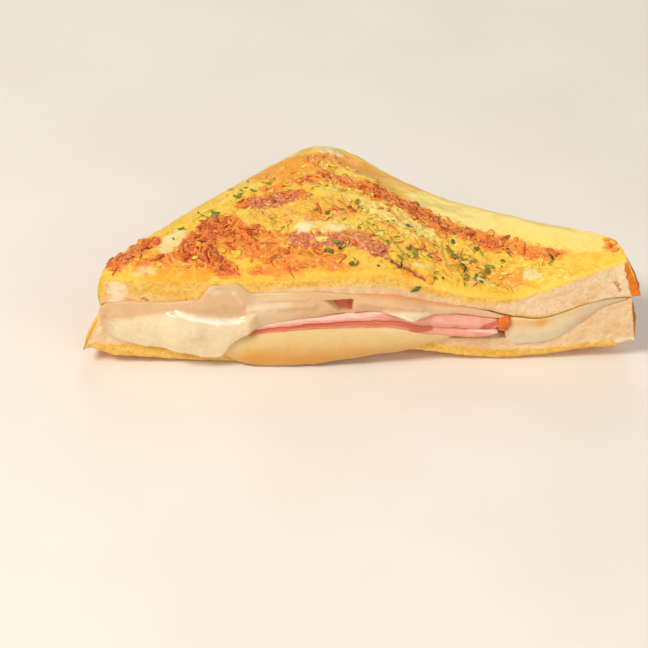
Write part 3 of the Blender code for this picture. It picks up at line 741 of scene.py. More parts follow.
def paint_toast(start):
    """Egg-fried bread: yellow egg, browned shreds, pink grains, cream lumps, crumb and crust. Shade is
    painted into the hollows of the browning and the crumb's pores, and highlights onto the pale egg and the
    cream corners.
    """
    places = start.places()
    browned, pink, cream = start.attribute("fried")
    crumb, coat, crust = start.attribute("face")
    hollow_shade, dark, light_crumb_and_highlight = start.attribute("relief")
    golden, pale, line = start.attribute("tone")

    swirl = places.grain(9.0, 2.0)
    blotch = places.grain(3.2, 3.0, 0.6, 0.6)
    speck = places.grain(0.9, 3.0, 0.6)
    fine = places.grain(0.35, 2.0, 0.6)
    one_way = places.stretched(0.5, (3.6, 1.0, 1.5)).grain(0.7, 3.0, 0.6, 1.4)
    other_way = places.stretched(2.3, (3.4, 1.0, 1.5)).grain(0.75, 3.0, 0.6, 1.6)
    turn = places.grain(4.5, 1.0).step(0.42, 0.58)
    fibre = one_way * (1 - turn) + other_way * turn

    egg = (blotch * 0.55 + swirl * 0.45).step(0.34, 0.66).paint("F7C134", "FDD74E")
    egg = golden.uneven((blotch, 1.1), (fibre, 0.7)).step(0.2, 0.8).paint(egg, "F79A1C", 0.85)
    # The pale share is partly lighter egg and partly a painted highlight, most of all along the right margin.
    egg = pale.uneven((blotch, 0.5)).step(0.3, 0.9).paint(egg, "FFE47E", 0.8)
    egg = (speck * 0.5 + fibre * 0.5).step(0.6, 0.72).paint(egg, "FFE680")
    thin = (fibre * 0.7 + fine * 0.3).step(0.47, 0.3) * (1 - pale * 0.8)
    egg = thin.paint(egg, "EC9422", 0.8)

    depth = (browned * 0.8).uneven((fibre, 1.6), (speck, 0.7), (blotch, 0.8)) - 0.12
    # Painted shade: the browned colour grows darker in the hollows between the crags.
    shade = depth * (0.4 + 0.6 * browned) + (hollow_shade - 0.5) * 0.35 * browned
    fried = shade.ramp((0.0, "FAB83A"), (0.14, "FBAA34"), (0.32, "F89830"), (0.5, "F08424"), (0.66, "E87028"),
                       (0.84, "C9561C"), (1.0, "963A10"))
    top = (browned * 1.5).uneven((fibre, 1.5), (blotch, 1.1)).step(0.36, 0.62).paint(egg, fried)

    rosy = places.holes(0.9).uneven((fine, 0.6), (speck, 0.5)).ramp(
        (0.15, "F8B488"), (0.45, "E07E50"), (0.75, "BC5430"))
    rosy = fibre.uneven((speck, 0.6)).step(0.5, 0.7).paint(rosy, "F49A52")
    top = (pink * 1.3).uneven((speck, 0.9), (blotch, 0.9)).step(0.45, 0.75).paint(top, rosy, 0.85)
    cloud = (blotch * 0.6 + swirl * 0.4).step(0.35, 0.65).paint("F8D678", "FCEBB8")
    top = (cream * 1.1).uneven((blotch, 0.4), (speck, 0.3)).step(0.2, 0.85).paint(top, cloud, 0.9)
    top = dark.uneven((fibre, 0.9)).step(0.45, 0.85).paint(top, "9C441A", 0.8)

    web = places.holes(1.15) * 0.5 + places.holes(0.55) * 0.5
    web = web.uneven((fine, 0.5), (speck, 0.4)).step(0.0, 0.55)
    bread = (blotch * 0.5 + swirl * 0.5).step(0.35, 0.65).paint("EDC08A", "F6D8AC")
    # Painted shade in the pores of the crumb and of its yellow coat.
    bread = (1 - web).paint(bread, "E0AC78", 0.28)
    yellow = (blotch * 0.6 + speck * 0.4).step(0.35, 0.65).paint("EDB03C", "F8D074")
    yellow = (1 - web).paint(yellow, "DC9634", 0.25)
    cut = (coat * 1.1).uneven((blotch, 0.4), (speck, 0.3)).step(0.1, 0.9).paint(bread, yellow)
    # Pale crumb, and the lower slice's cream corners, which are partly painted highlights.
    cut = light_crumb_and_highlight.uneven((speck, 0.3)).step(0.2, 0.9).paint(cut, "FBE6C4", 0.8)
    cut = dark.uneven((speck, 0.6)).step(0.4, 0.8).paint(cut, "B5651D", 0.8)
    cut = line.uneven((speck, 0.6)).step(0.3, 0.9).paint(cut, "C98A30", 0.7)

    rind = blotch * 0.5 + speck * 0.3 + fibre * 0.2
    rind = rind.ramp((0.3, "B84E08"), (0.48, "E67606"), (0.66, "F6962A"))
    base = crumb.uneven((speck, 0.3)).step(0.3, 0.7).paint(top, cut)
    base = crust.uneven((blotch, 0.4), (fibre, 0.3)).step(0.4, 0.65).paint(base, rind)

    top_relief = fibre * (0.5 + browned * 0.9) + speck * 0.35 + fine * 0.2
    cut_relief = web * 0.4 + speck * 0.5
    relief = top_relief * (1 - crumb) + cut_relief * crumb
    return {
        "Base Color": base, "Roughness": 0.3 + 0.2 * blotch + 0.35 * crumb + 0.08 * browned - 0.1 * cream,
        "Normal": relief.bump(0.3, 0.8), "Coat Weight": (1 - crumb) * 0.3, "Coat Roughness": 0.18,
        "Specular IOR Level": 0.4, **translucent(0.12, (1.0, 0.6, 0.25), 1.5),
    }


def paint_cheese(low, high, roughness):
    """Melted cheese between two colours, with soft waves, a few bubbles and painted highlights. For the upper
    white cheese the two colours also stand for painted shade and painted light.
    """

    def paint(start):
        places = start.places()
        tint, warm, wet = start.attribute("tint")
        shine, gold, _ = start.attribute("glint")
        wave = places.grain(6.0, 2.0, 0.5, 0.4)
        fine = places.grain(1.1, 3.0, 0.6)
        body = tint.uneven((wave, 0.5), (fine, 0.3)).step(0.0, 1.0).paint(low, high)
        body = warm.uneven((fine, 0.3)).step(0.2, 0.9).paint(body, "E3A46C")
        body = gold.uneven((fine, 0.3)).step(0.1, 1.0).paint(body, "EAAE56")
        # Painted highlight where the glint's share is strong.
        body = shine.uneven((fine, 0.2)).step(0.1, 1.0).paint(body, "FFF4DE")
        return {
            "Base Color": body, "Roughness": roughness + 0.14 * fine - 0.08 * wet,
            "Normal": (wave * 0.6 + fine * 0.25).bump(0.25, 0.55),
            "Coat Weight": (wet * 0.6).least(0.6), "Coat Roughness": 0.12,
            **translucent(0.35, (1.0, 0.75, 0.4), 2.5),
        }

    return paint


def paint_ham(start):
    """Ham: pale pink with darker salmon streaks, paler still on its fat and at painted highlights, and
    browned where it was fried.
    """
    places = start.places()
    pale, salmon, browned = start.attribute("tint")
    wave = places.grain(4.0, 2.0, 0.5, 0.6)
    streak = places.stretched(0.0, (5.0, 5.0, 1.0)).grain(0.7, 3.0, 0.6, 0.5)
    fine = places.grain(0.4, 2.0, 0.6)
    body = (wave * 0.5 + streak * 0.5).step(0.3, 0.7).paint("E8967C", "F2B09A")
    # The pale share is the fat and painted highlights.
    body = pale.uneven((streak, 0.8)).step(0.3, 0.8).paint(body, "F8CDBC")
    body = salmon.uneven((streak, 0.7), (wave, 0.4)).step(0.35, 0.75).paint(body, "D96C4A")
    rind = (wave * 0.5 + fine * 0.5).step(0.3, 0.7).paint("C85208", "E87A1A")
    body = browned.uneven((streak, 0.5)).step(0.35, 0.65).paint(body, rind)
    return {
        "Base Color": body, "Roughness": 0.3 + 0.2 * streak,
        "Normal": (streak * 0.6 + fine * 0.25 + wave * 0.3).bump(0.16, 0.7),
        "Coat Weight": (pale * 0.5).least(0.5), "Coat Roughness": 0.15,
        **translucent(0.2, (1.0, 0.4, 0.25), 1.5),
    }


def paint_herb(start):
    """Dried herb flakes, each with its own green."""
    own, age, _ = start.attribute("own")
    fine = start.places().grain(0.3, 2.0, 0.6)
    green = (own * 0.8).uneven((fine, 0.7)).ramp(
        (0.05, "4C5C18"), (0.4, "6C7E24"), (0.75, "929A30"), (1.0, "C2B046"))
    green = age.uneven((fine, 0.4)).step(0.8, 1.0).paint(green, "4A3210")
    return {"Base Color": green, "Roughness": 0.55 + 0.25 * fine, "Normal": fine.bump(0.12, 0.8)}


def paint_shred(start):
    """Browned shreds: from golden to red-brown."""
    places = start.places()
    own = start.attribute("own")[0]
    browned = start.attribute("fried")[0]
    fine = places.grain(0.4, 2.0, 0.6)
    wave = places.grain(2.0, 2.0, 0.6)
    body = (own * 0.75).uneven((browned, 0.5), (fine, 0.5), (wave, 0.7)).ramp(
        (0.0, "FCC450"), (0.22, "FAAA3C"), (0.46, "F38C2E"), (0.7, "E67228"), (0.88, "CC561C"),
        (1.0, "9E3C10"))
    return {"Base Color": body, "Roughness": 0.42 + 0.2 * fine, "Normal": fine.bump(0.1, 0.7),
            **translucent(0.1, (1.0, 0.5, 0.2), 1.0)}


def paint_melt(start):
    """Bright yellow egg shreds and drips."""
    own = start.attribute("own")[0]
    fine = start.places().grain(0.5, 2.0, 0.6)
    body = (own * 0.8).uneven((fine, 0.6)).ramp((0.0, "F8BA38"), (0.5, "FED24C"), (1.0, "FFE67C"))
    return {"Base Color": body, "Roughness": 0.36 + 0.2 * fine, "Normal": fine.bump(0.1, 0.6),
            **translucent(0.15, (1.0, 0.7, 0.3), 1.5)}


def paint_floor(start):
    """Pale paper."""
    places = start.places()
    wide = places.grain(60.0, 3.0, 0.5)
    fine = places.grain(1.5, 2.0, 0.6)
    return {"Base Color": wide.step(0.3, 0.7).paint("F1E9DC", "F5EEE3"), "Roughness": 0.75 + 0.1 * fine,
            "Normal": fine.bump(0.02, 0.3)}


TOAST = finish("fried_toast", paint_toast)
# Darker and lighter colours, which on the upper cheese are also painted shade and painted light.
CHEESE_WHITE = finish("melted_white_cheese", paint_cheese("E0B586", "F1DAB0", 0.28))
CHEESE_YELLOW = finish("melted_yellow_cheese", paint_cheese("DC9C3A", "E6C586", 0.3))
HAM = finish("sliced_ham", paint_ham)
HERB = finish("dried_herb", paint_herb)
SHRED = finish("browned_shreds", paint_shred)
MELT = finish("egg_shreds", paint_melt)


# The slices

# Where parts of the upper slice's cut start and end along X, with the widths of their rise and fall.
LEFT_CRUMB = (-68.0, -60.4, 2.4, 3.0)
SEAM = (38.0, 61.0, 2.0, 4.0)
RIGHT_CRUMB = (34.0, 10.0)
LEFT_COAT = (-44.0, 6.0)

# How far below its top edge the crumb of the upper slice shows, and how deep its yellow coat goes.
CRUMB_START = ((-74, 0.8), (20, 0.8), (34, 0.4), (44, 0.0), (74, -0.2))
UPPER_COAT = ((-74, 8), (-60, 5.6), (-45, 7.5), (-30, 4.6), (-5, 3.8), (12, 3.8), (26, 3.2), (38, 1.8),
              (46, 0.4), (74, 0.0))
# How high the coat of the lower slice goes, and where its crumb is open at the ends.
LOWER_COAT = ((-74, 4.0), (-60, 4.4), (-40, 3.6), (20, 3.6), (40, 3.2), (60, 2.6), (74, 3.0))
OPEN_ENDS = ((-58.0, 6.0), (52.0, 8.0))

# Where the crust strip at the right end starts at its top, and how far it leans outwards a millimetre down.
CRUST_STRIP_TOP = 65.2
CRUST_STRIP_LEAN = 0.34
# The crust's orange rim round the top as a width and a strength, and the corner that stays pale, with
# its radii.
RIM = (2.3, 2.2, 0.58)
PALE_CORNER = (-72.5, 6.0, 10.0)

# Pores of a cut face, as (size in millimetres, share of it that is open).
PORES = ((1.5, 0.42), (0.8, 0.4))

# Brown spots of the upper slice's cut, as (x, z, x, z, radius, strength), and dark streaks of its top.
CUT_SPOTS = (
    (-57.4, 21.2, -56.6, 21.0, 0.7, 0.85), (-46.6, 21.2, -46.0, 21.0, 0.6, 0.8),
    (64.2, 25.6, 65.9, 22.4, 0.55, 0.9), (-61.6, 21.4, -60.8, 21.0, 0.4, 0.8),
    (-61, 24.0, -60.8, 23.8, 0.2, 0.5), (-28.6, 23.6, -28.4, 23.4, 0.25, 0.5),
    (-53, 23.0, -52.8, 22.8, 0.2, 0.4),
)
DARK_STREAKS = (
    (2, 6.8, 8, 3.6, 0.5, 1.0), (8, 3.6, 15.5, 0.6, 0.45, 1.0), (12, 37.5, 25, 23.5, 0.5, 0.8),
    (26, 23.5, 36, 18.5, 0.45, 0.7), (-62, 5, -56, 12, 0.5, 0.8), (-64, 7, -59, 13, 0.35, 0.7),
    (-47, 9, -43, 14, 0.6, 0.7), (-39, 7, -35, 2, 0.5, 0.6), (-42, 13, -38, 8, 0.7, 0.8),
    (-24, 36, -18, 37, 0.6, 0.7), (37, 18, 47, 12, 0.35, 0.6), (-28, 0.9, -17, 0.8, 0.3, 0.6),
    (4, 46, 13, 40, 0.4, 0.7), (-22, 11, -16, 9, 0.3, 0.5), (-8, 47, 0, 49, 0.35, 0.6),
)
# Cream corners of the lower slice's cut, partly cream drips and partly painted highlights on its edges, as
# (x, z, x, z, width, strength).
CREAM_AND_HIGHLIT_CORNERS = (
    (-70.8, 18.0, -71.6, 15.0, 1.4, 1.0), (68.0, 6.0, 72.4, 6.2, 1.2, 1.0), (66, 10, 68, 14, 3.0, 0.3),
    (-67, 12, -66, 9, 2.0, 0.4),
)


def fried_zones(x, y):
    """Browning, pink grains, cream lumps and rough ground of the fried top, with ragged edges."""
    places = np.stack([x, y, 0 * x], -1)

    def ragged(seed):
        return 1.5 * rough(places, 3.2, 3, seed) + 0.6 * noise(places, 0.9, seed + 4)

    def wavy(seed):
        return 1.3 * noise(places, 3.2, seed) + 0.5 * noise(places, 1.1, seed + 2)

    ragged_x, ragged_y = x + ragged(11), y + ragged(21)
    browned = capsules(ragged_x, ragged_y, BROWNED, 1.6)
    browned = np.clip(browned + 0.25 * rough(places, 4.0, 3, 31) * (browned > 0.02), 0.0, 1.0)
    pink = capsules(ragged_x, ragged_y, PINK, 1.4)
    cream = capsules(x + wavy(41), y + wavy(42), CREAM, 1.3)
    margin = rise(from_crust(x, y), np.where(x > CORNER_X, RIGHT_MARGIN, LEFT_MARGIN) - 1.5, 3.0)
    return browned, pink, cream, margin


def fried_relief(rings, zones, skin_height):
    """The height of the fried top's crags and folds over its even ground, and how cragged each place is."""
    browned, pink, cream, margin = zones
    x, y, _ = np.moveaxis(rings, -1, 0)
    flat = np.stack([x, y, 0 * x], -1)
    warped = rings + 1.2 * np.stack([noise(rings, 4.0, 51), noise(rings, 4.0, 52), 0 * x], -1)
    crags = ridged(warped, 2.6, 3, 61)
    fine_crags = ridged(warped * (1.0, 1.6, 1.0), 1.3, 2, 71)
    folds = ridged(warped * (1.0, 1.3, 1.0), 5.0, 2, 65)
    bare = 1 - smooth(cream * 2)
    height = margin * 0.3 + 0.25 * skin_height + 0.2 * rough(flat, 7.0, 2, 91)
    height += browned * bare * (1.3 * (crags - 0.45) + 0.55 * (fine_crags - 0.5))
    height += (1 - browned) * margin * bare * (0.7 * (crags - 0.5) + 0.3 * (fine_crags - 0.4))
    height += (1 - 0.5 * browned) * margin * bare * 0.8 * (folds - 0.5)
    height += cream * (0.6 + 0.2 * skin_height)
    height *= smooth(y / 3.0)
    return height - 0.35 * pink * np.clip(0.5 - pore_distance(rings, 1.1, 5), 0, 1), crags


def cut_relief(rings, open_crumb, pore_seed, small, coarse, seed):
    """The height of a cut face: pores, deepest where the crumb is open, small pores and soft lumps."""
    pores, small_pores = (np.clip(share - pore_distance(rings, size, pore_seed + k), 0, 1)
                          for k, (size, share) in enumerate(PORES))
    return -0.5 * pores * (0.3 + 0.7 * open_crumb) - small * small_pores + coarse * rough(rings, 2.4, 3, seed)


def crust_relief(rings, seed):
    """The height of the crust side, rougher up and down than along."""
    return 0.25 * rough(rings * (1.0, 1.0, 2.0), 3.0, 3, seed)


def brown_side(rings, least):
    """How brown the crust side is, all round but at the left end of the cut."""
    corner_x, radius, width = PALE_CORNER
    away = np.hypot(rings[..., 0] - corner_x, rings[..., 1])
    return (least + 0.2 * noise(rings, 5.0, 12)) * rise(away, radius, width)


def make_upper_slice():
    """The fried slice with its relief, and the even ground that shreds and herbs are strewn over."""
    rings = slice_skin(UPPER_SLICE_GRID, (upper_slice_underside, upper_slice_top),
                       (UPPER_SLICE_SHIFT, UPPER_SLICE_INSETS), (UPPER_INNER_ROUND, UPPER_CUT_ROUND))
    outward = normals(rings)
    x, y, z = np.moveaxis(rings, -1, 0)
    on_base, on_cut, on_top, on_crust = soft_parts(UPPER_SLICE_GRID, 2)
    flat = np.stack([x, y, 0 * x], -1)
    browned, pink, cream, margin = zones = fried_zones(x, y)
    skin_height = rough(flat, 3.6, 3, 81)
    height, crags = fried_relief(rings, zones, skin_height)
    cut_height = cut_relief(rings, rise(x, *RIGHT_CRUMB), 3, 0.18, 0.24, 95)
    moved = on_top * height + on_cut * cut_height + on_crust * crust_relief(rings, 97)

    top_edge = curve(UPPER_SLICE_TOP)(x)
    below_edge = top_edge - z
    crumb_depth = below_edge - curve(CRUMB_START)(x) - 0.6 * rough(flat, 2.5, 2, 99)
    crumb = np.maximum(on_cut * smooth(crumb_depth), on_base)
    left_crumb = span(x + 1.6 * noise(rings, 2.6, 17) + 0.6 * noise(rings, 1.0, 19), *LEFT_CRUMB)
    coat = 1 - rise(below_edge, curve(UPPER_COAT)(x) - 1.8, 3.6)
    coat = np.clip(coat * (1 - 0.9 * left_crumb * rise(below_edge, 2.0, 1.5)), 0, 1)
    coat = np.maximum(coat, 0.45 * fall(x, *LEFT_COAT) * (1 - left_crumb))
    above_seam = z - curve(UPPER_SLICE_UNDERSIDE)(x)
    seam = fall(above_seam, 1.3, 0.8) * span(x, *SEAM)
    past_strip = x - CRUST_STRIP_TOP - CRUST_STRIP_LEAN * below_edge - 0.5 * noise(rings, 1.6, 18)
    strip = smooth(past_strip / 0.5) * np.maximum(on_cut, on_base * fall(y, 3, 2))
    rim_start, rim_width, rim_strength = RIM
    rim = rim_strength * fall(from_crust(x, y), rim_start, rim_width) * on_top
    crust = np.maximum(on_crust * brown_side(rings, 0.85), np.maximum(rim, strip))
    light = (0.5 * rise(past_strip, -3.0, 1.6) + 0.6 * left_crumb * rise(below_edge, 1.0, 1.5)) * on_cut
    streaks = capsules(x + 0.3 * noise(flat, 1.5, 13), y, DARK_STREAKS, 0.5) * on_top
    spot_x, spot_z = x + 0.9 * noise(rings, 1.3, 20), z + 0.7 * noise(rings, 1.1, 22)
    spots = capsules(spot_x, spot_z, CUT_SPOTS, 1.1) * on_cut
    tones = (capsules(x + 2 * skin_height, y, shapes, 3.0) for shapes in (GOLDEN, PALE_AND_HIGHLIGHT))
    attributes = {
        "fried": painted(browned * on_top, pink * on_top, cream * on_top),
        "face": painted(crumb, np.maximum(coat, seam), crust),
        # The relief's first share paints shade into the hollows between the crags, and its third paints pale
        # crumb.
        "relief": painted(0.5 - 0.6 * (crags - 0.5), np.maximum(streaks, spots), light),
        "tone": painted(*tones, seam * fall(above_seam, 0.7, 0.4)),
    }
    skin = build("bread_top_skin", rings + outward * moved[..., None], TOAST, attributes)

    even = on_top * (margin * 0.3 + 0.25 * skin_height + 0.15) * smooth(y / 3.0)
    ground = build("even_ground", rings + outward * even[..., None], TOAST, attributes)
    level = smooth(outward[..., 2] * 2 - 0.6) * on_top
    bare = level * (1 - smooth(cream * 2))
    herbs = sum(strength * np.exp(-(np.hypot(x - patch_x, y - patch_y) / radius) ** 2 * 0.8)
                for patch_x, patch_y, radius, strength in HERB_PATCHES)
    for name, amount in (
        ("shred_amount", bare * browned**1.5 * (1 - 0.7 * pink) * rise(y, 0.5, 2)),
        ("melt_amount", bare * margin * (1 - browned) * rise(y, 2, 4) * 0.7),
        ("herb_amount", level * np.clip(herbs, 0.0, 1.6)),
    ):
        layer = ground.data.attributes.new(name, "FLOAT", "POINT")
        layer.data.foreach_set("value", amount.astype(np.float32).ravel())
    return skin, ground


def make_lower_slice():
    """The lower slice, with its crumb at the cut and its fried underside."""
    rings = slice_skin(LOWER_SLICE_GRID, (underside, lower_slice_top),
                       (LOWER_SLICE_SHIFT, LOWER_SLICE_INSETS), (LOWER_CUT_ROUND, INNER_ROUND))
    x, y, z = np.moveaxis(rings, -1, 0)
    on_base, on_cut, on_top, on_crust = soft_parts(LOWER_SLICE_GRID, 1)
    flat = np.stack([x, y, 0 * x], -1)
    left_end, right_end = OPEN_ENDS
    cut_height = cut_relief(rings, np.maximum(rise(x, *right_end), fall(x, *left_end)), 6, 0.2, 0.26, 105)
    base_height = 0.3 * rough(flat, 3.0, 3, 109) * rise(z, 0.3, 0.5)
    points = raised(rings, on_base * base_height + on_cut * cut_height + on_crust * crust_relief(rings, 107))
    points[..., 2] = np.maximum(points[..., 2], 0.0)

    above = z - np.maximum(curve(UNDERSIDE)(x), 0.0)
    coat = 1 - rise(above, curve(LOWER_COAT)(x) - 0.8 + 0.9 * rough(flat, 3.0, 2, 113), 1.6)
    crumb = np.maximum(on_cut, on_top)
    browned = on_base * (1 - fall(y, 4, 4)) * np.clip(0.55 + 0.5 * rough(flat, 7.0, 3, 115), 0, 1)
    return build("bread_bottom_skin", points, TOAST, {
        "fried": painted(browned, 0.0, 0.0),
        "face": painted(crumb, coat, on_crust * brown_side(rings, 0.8)),
        # The relief's third share paints the cream corners, partly as painted highlights.
        "relief": painted(0.5 + 0.3 * noise(rings, 2.0, 16), 0.0, ridges(x, z, CREAM_AND_HIGHLIT_CORNERS) * crumb),
        "tone": painted(0.4 + 0 * x, 0.0, 0.0),
    })


# The filling

# How much lower a place looks for each millimetre that it stands out of the cut, seen from above.
SLANT = 0.75

# Painted highlights along the white cheese, golden places under the seam on the right, and folds of the
# cheese and the ham, as (x, height, x, height, width, strength or size). Heights are as they look from the
# photo's side.
GLINTS = (
    (-49.2, 17.2, -45.3, 15.8, 0.5, 0.9), (-45.3, 15.8, -38.6, 14.3, 0.6, 1.0),
    (-38.6, 14.3, -33, 14.5, 0.5, 0.8),
    (4.7, 15.6, 13.6, 12.0, 1.2, 0.9), (-58, 9, -46, 8.4, 2.0, 0.3), (-42, 11.5, -38, 9.0, 1.2, 0.3),
    (-30, 18.4, -20, 19.4, 1.6, 0.4), (-41.0, 24.0, -39.0, 23.2, 1.4, 0.5), (-37, 23.6, -34, 23.4, 1.2, 0.25),
    (-31, 16.6, -24, 16.6, 1.2, 0.35), (-34.6, 22.6, -32.6, 20.0, 0.8, 0.3),
)
GOLD_PLACES = ((38.5, 12.6, 46, 12.0, 2.2, 0.6), (46, 12.4, 53, 15.0, 1.4, 0.45))
CHEESE_FOLDS = (
    (-60, 12.0, -45, 11.0, 3.0, 0.5), (-47, 11.2, -44, 10.6, 1.3, 0.35), (-41, 23.6, -38, 25.4, 0.9, 0.5),
    (-39, 20.0, -33, 19.0, 2.2, 0.35), (-30, 17.6, -14, 18.8, 1.1, 0.5), (-2, 19.4, 14, 17.4, 1.1, 0.5),
    (-26, 20.6, -16, 20.9, 0.8, 0.4), (5.6, 16.2, 15.5, 11.6, 0.7, 0.8), (9, 15.6, 13, 13.2, 0.5, 0.4),
    (-69.5, 19.0, -68.6, 16.6, 0.9, 0.6),
)
# A painted highlight on the lower ham, along a fold that also stands out.
HAM_GLINT = (27.6, 10.4, 35, 9.4)
HAM_FOLDS = ((14, 13.4, 30, 11.6, 0.9, 0.4), (*HAM_GLINT, 0.5, 0.5))
SCORCHED = ((-30.2, 9.2, -28.8, 8.8, 0.7, 0.9), (34.4, 12.4, 35.2, 12.8, 0.6, 0.6))
REDDENED = ((31, 11.1, 34.9, 12.6, 0.9, 1.0), (12.0, 9.6, 16.7, 10.9, 0.8, 0.9))

# The shoulder of the white cheese that catches the light, as (x, height), and where it runs along X.
SHOULDER = (
    (-66, 14.6), (-60, 15.4), (-54, 16.4), (-49, 16.9), (-45.3, 16.3), (-38.6, 14.9), (-35.2, 14.6),
    (-31, 15.4),
    (-27, 16.6),
)
SHOULDER_SPAN = (-54.0, -28.0, 5.0, 3.0)
SHOULDER_STEP = 1.8
# The slot in the cheese: its left end and how far that leans, right end, bottom, top and depth.
SLOT_LEFT, SLOT_LEAN, SLOT_RIGHT = -11.6, 1.15, -3.4
SLOT_BOTTOM, SLOT_TOP, SLOT_SLOPE = 16.2, 20.1, 0.06
SLOT_DEPTH = 3.2
# Where the light patch of cheese over the ham lies, and where the cheese grows lighter towards the left mass.
PATCH_SPAN, PATCH_HEIGHT = (4.0, 18.0, 3.0, 3.0), 16.8
RISING_SPAN = (-33.0, -16.0, 5.0, 8.0)


def make_layer(name, coat, layer, surfaces, depth_of, push, wave, tint, seed, glints=()):
    """One melted or sliced layer of the filling. Its lip is pushed forwards by push and coloured by tint,
    with painted highlights along glints.
    """
    rings, front = layer_skin(layer, surfaces, depth_of)
    x, y, z = np.moveaxis(rings, -1, 0)
    seen = z + SLANT * np.minimum(y, 0.0)
    lumps = 0.7 * noise(rings, 5.0, seed) + 0.35 * noise(rings, 1.8, seed + 1)
    points = raised(rings, wave * lumps * front)
    points[..., 1] -= push(x, seen) * front
    # Painted highlights along the glints, and golden places.
    glint, gold = (ridges(x, seen, shapes) * front for shapes in (glints, GOLD_PLACES))
    return build(name, points, coat, {
        "tint": painted(*tint(x, z, seen)), "glint": painted(0 * x + glint, gold, 0.0)})


def slot_share(x, z):
    """1 inside the slot in the cheese where the fold of ham shows, and 0 outside."""
    left = SLOT_LEFT + (SLOT_TOP + 0.1 - z) * SLOT_LEAN
    top = SLOT_TOP + (x + 11.5) * SLOT_SLOPE
    return span(x, left, SLOT_RIGHT, 0.6, 0.6) * span(z, SLOT_BOTTOM, top, 0.5, 0.5)


def push_upper(x, z):
    step = SHOULDER_STEP * fall(z, curve(SHOULDER)(x) + 0.5, 1.0) * span(x, *SHOULDER_SPAN)
    return step + ridges(x, z, CHEESE_FOLDS) - SLOT_DEPTH * slot_share(x, z)


def push_ham(x, z):
    return ridges(x, z, HAM_FOLDS)


def push_nothing(x, z):
    return 0.0


def make_cheese():
    """The three cheese layers, with the node that each replaces."""
    on_ham, _ = between(HAM_TOP, None)
    on_slice, top = between(None, None)

    def upper_bottom(x, y):
        """On the ham where there is ham, and on the lower slice to the left of it."""
        share = rise(x, HAM_START, HAM_START_WIDTH)
        return on_slice(x, y) * (1 - share) + on_ham(x, y) * share

    def upper_depth(x):
        """As deep as a cheese layer goes, and nearly to the crust at the left end."""
        return np.maximum(filling_depth(x), (depth_at(x) - 2.2) * (1 - rise(x, -58, 12)))

    def lower_depth(x):
        return filling_depth(x) - CHEESE_LOWER_SHORTFALL

    def upper_tint(x, z, seen):
        # Painted light and shade: lighter below the shoulder, where light falls on it, and darker above it,
        # in the shade of the sheet and the upper slice.
        lower_mass = fall(seen, curve(SHOULDER)(x) + 1.2, 2.4) * fall(x, -28, 4)
        patch = span(x, *PATCH_SPAN) * fall(seen, PATCH_HEIGHT, 1.5)
        under_crumb = rise(seen, curve(UPPER_SLICE_UNDERSIDE)(x) - 0.6, 1.2) * rise(x, -4, 6)
        light = 0.15 + 0.25 * span(x, *RISING_SPAN) + 0.75 * np.maximum(lower_mass * rise(x, -69, 5), patch)
        warm = 0.4 * rise(x, -24, 12) * (1 - patch) + 0.45 * fall(x, -65.5, 3) + 0.5 * under_crumb
        return light, warm, 0.2 + 0.8 * np.maximum(lower_mass, patch)

    def lower_tint(x, z, seen):
        return rise(z, 1, 11) + 0.4 * fall(x, -30, 5), 0.0, 0.7

    def right_tint(x, z, seen):
        return 0.7 - 0.35 * rise(x, 50, 8), 0.0, 0.1

    return (
        (make_layer(
            "cheese_upper_melt", CHEESE_WHITE, CHEESE_UPPER, (upper_bottom, top), upper_depth, push_upper,
            0.3, upper_tint, 201, GLINTS), "cheese_white", "cheese_upper"),
        (make_layer(
            "cheese_lower_melt", CHEESE_YELLOW, CHEESE_LOWER, between(None, HAM_BOTTOM), lower_depth,
            push_nothing, 0.3, lower_tint, 211), "cheese_yellow", "cheese_lower"),
        (make_layer(
            "cheese_right_melt", CHEESE_WHITE, CHEESE_RIGHT, (on_slice, top), filling_depth,
            push_nothing, 0.2, right_tint, 221), "cheese_white", "cheese_right"),
    )


def make_ham():
    """The three slices of ham, with the node that each replaces."""

    def long_tint(x, z, seen):
        middle, top = curve(HAM_MIDDLE)(x), curve(HAM_TOP)(x)
        share = np.clip((z - middle) / (top - middle), 0, 1)
        red = 0.5 * (1 - smooth(share * 2.2)) + ridges(x, seen, REDDENED)
        return 0.15 + 0.6 * share * (1 - rise(x, 2, 6)), red, ridges(x, seen, SCORCHED)

    def lower_tint(x, z, seen):
        # Painted highlight: paler and less red along the glint.
        glint = ridges(x, seen, ((*HAM_GLINT, 0.6, 1.0),))
        bottom, middle = curve(HAM_BOTTOM)(x), curve(HAM_MIDDLE)(x)
        line = 1 - smooth(np.abs((z - bottom) / (middle - bottom) - 0.75) / 0.45)
        red = (0.35 + 0.6 * line) * (1 - rise(x, 12, 8)) + 0.1 * (1 - glint) + ridges(x, seen, REDDENED)
        return 0.2 + glint, red, ridges(x, seen, SCORCHED)

    for node, layer, stations, tint, seed in (
        ("ham_left", HAM_LEFT, (HAM_BOTTOM, HAM_MIDDLE), lower_tint, 231),
        ("ham_right", HAM_RIGHT, (HAM_BOTTOM, HAM_MIDDLE), lower_tint, 241),
        ("ham_long", HAM_LONG, (HAM_MIDDLE, HAM_TOP), long_tint, 251),
    ):
        yield (make_layer(node + "_slice", HAM, layer, between(*stations), ham_depth(layer["ends"]), push_ham,
                          0.35, tint, seed), "ham", node)


FOLD_ENDS = (-12.0, -2.8)
FOLD_HEIGHTS = (14.6, 20.4)
FOLD_THICKNESS = 0.8
FOLD_GRID = (40, 13)


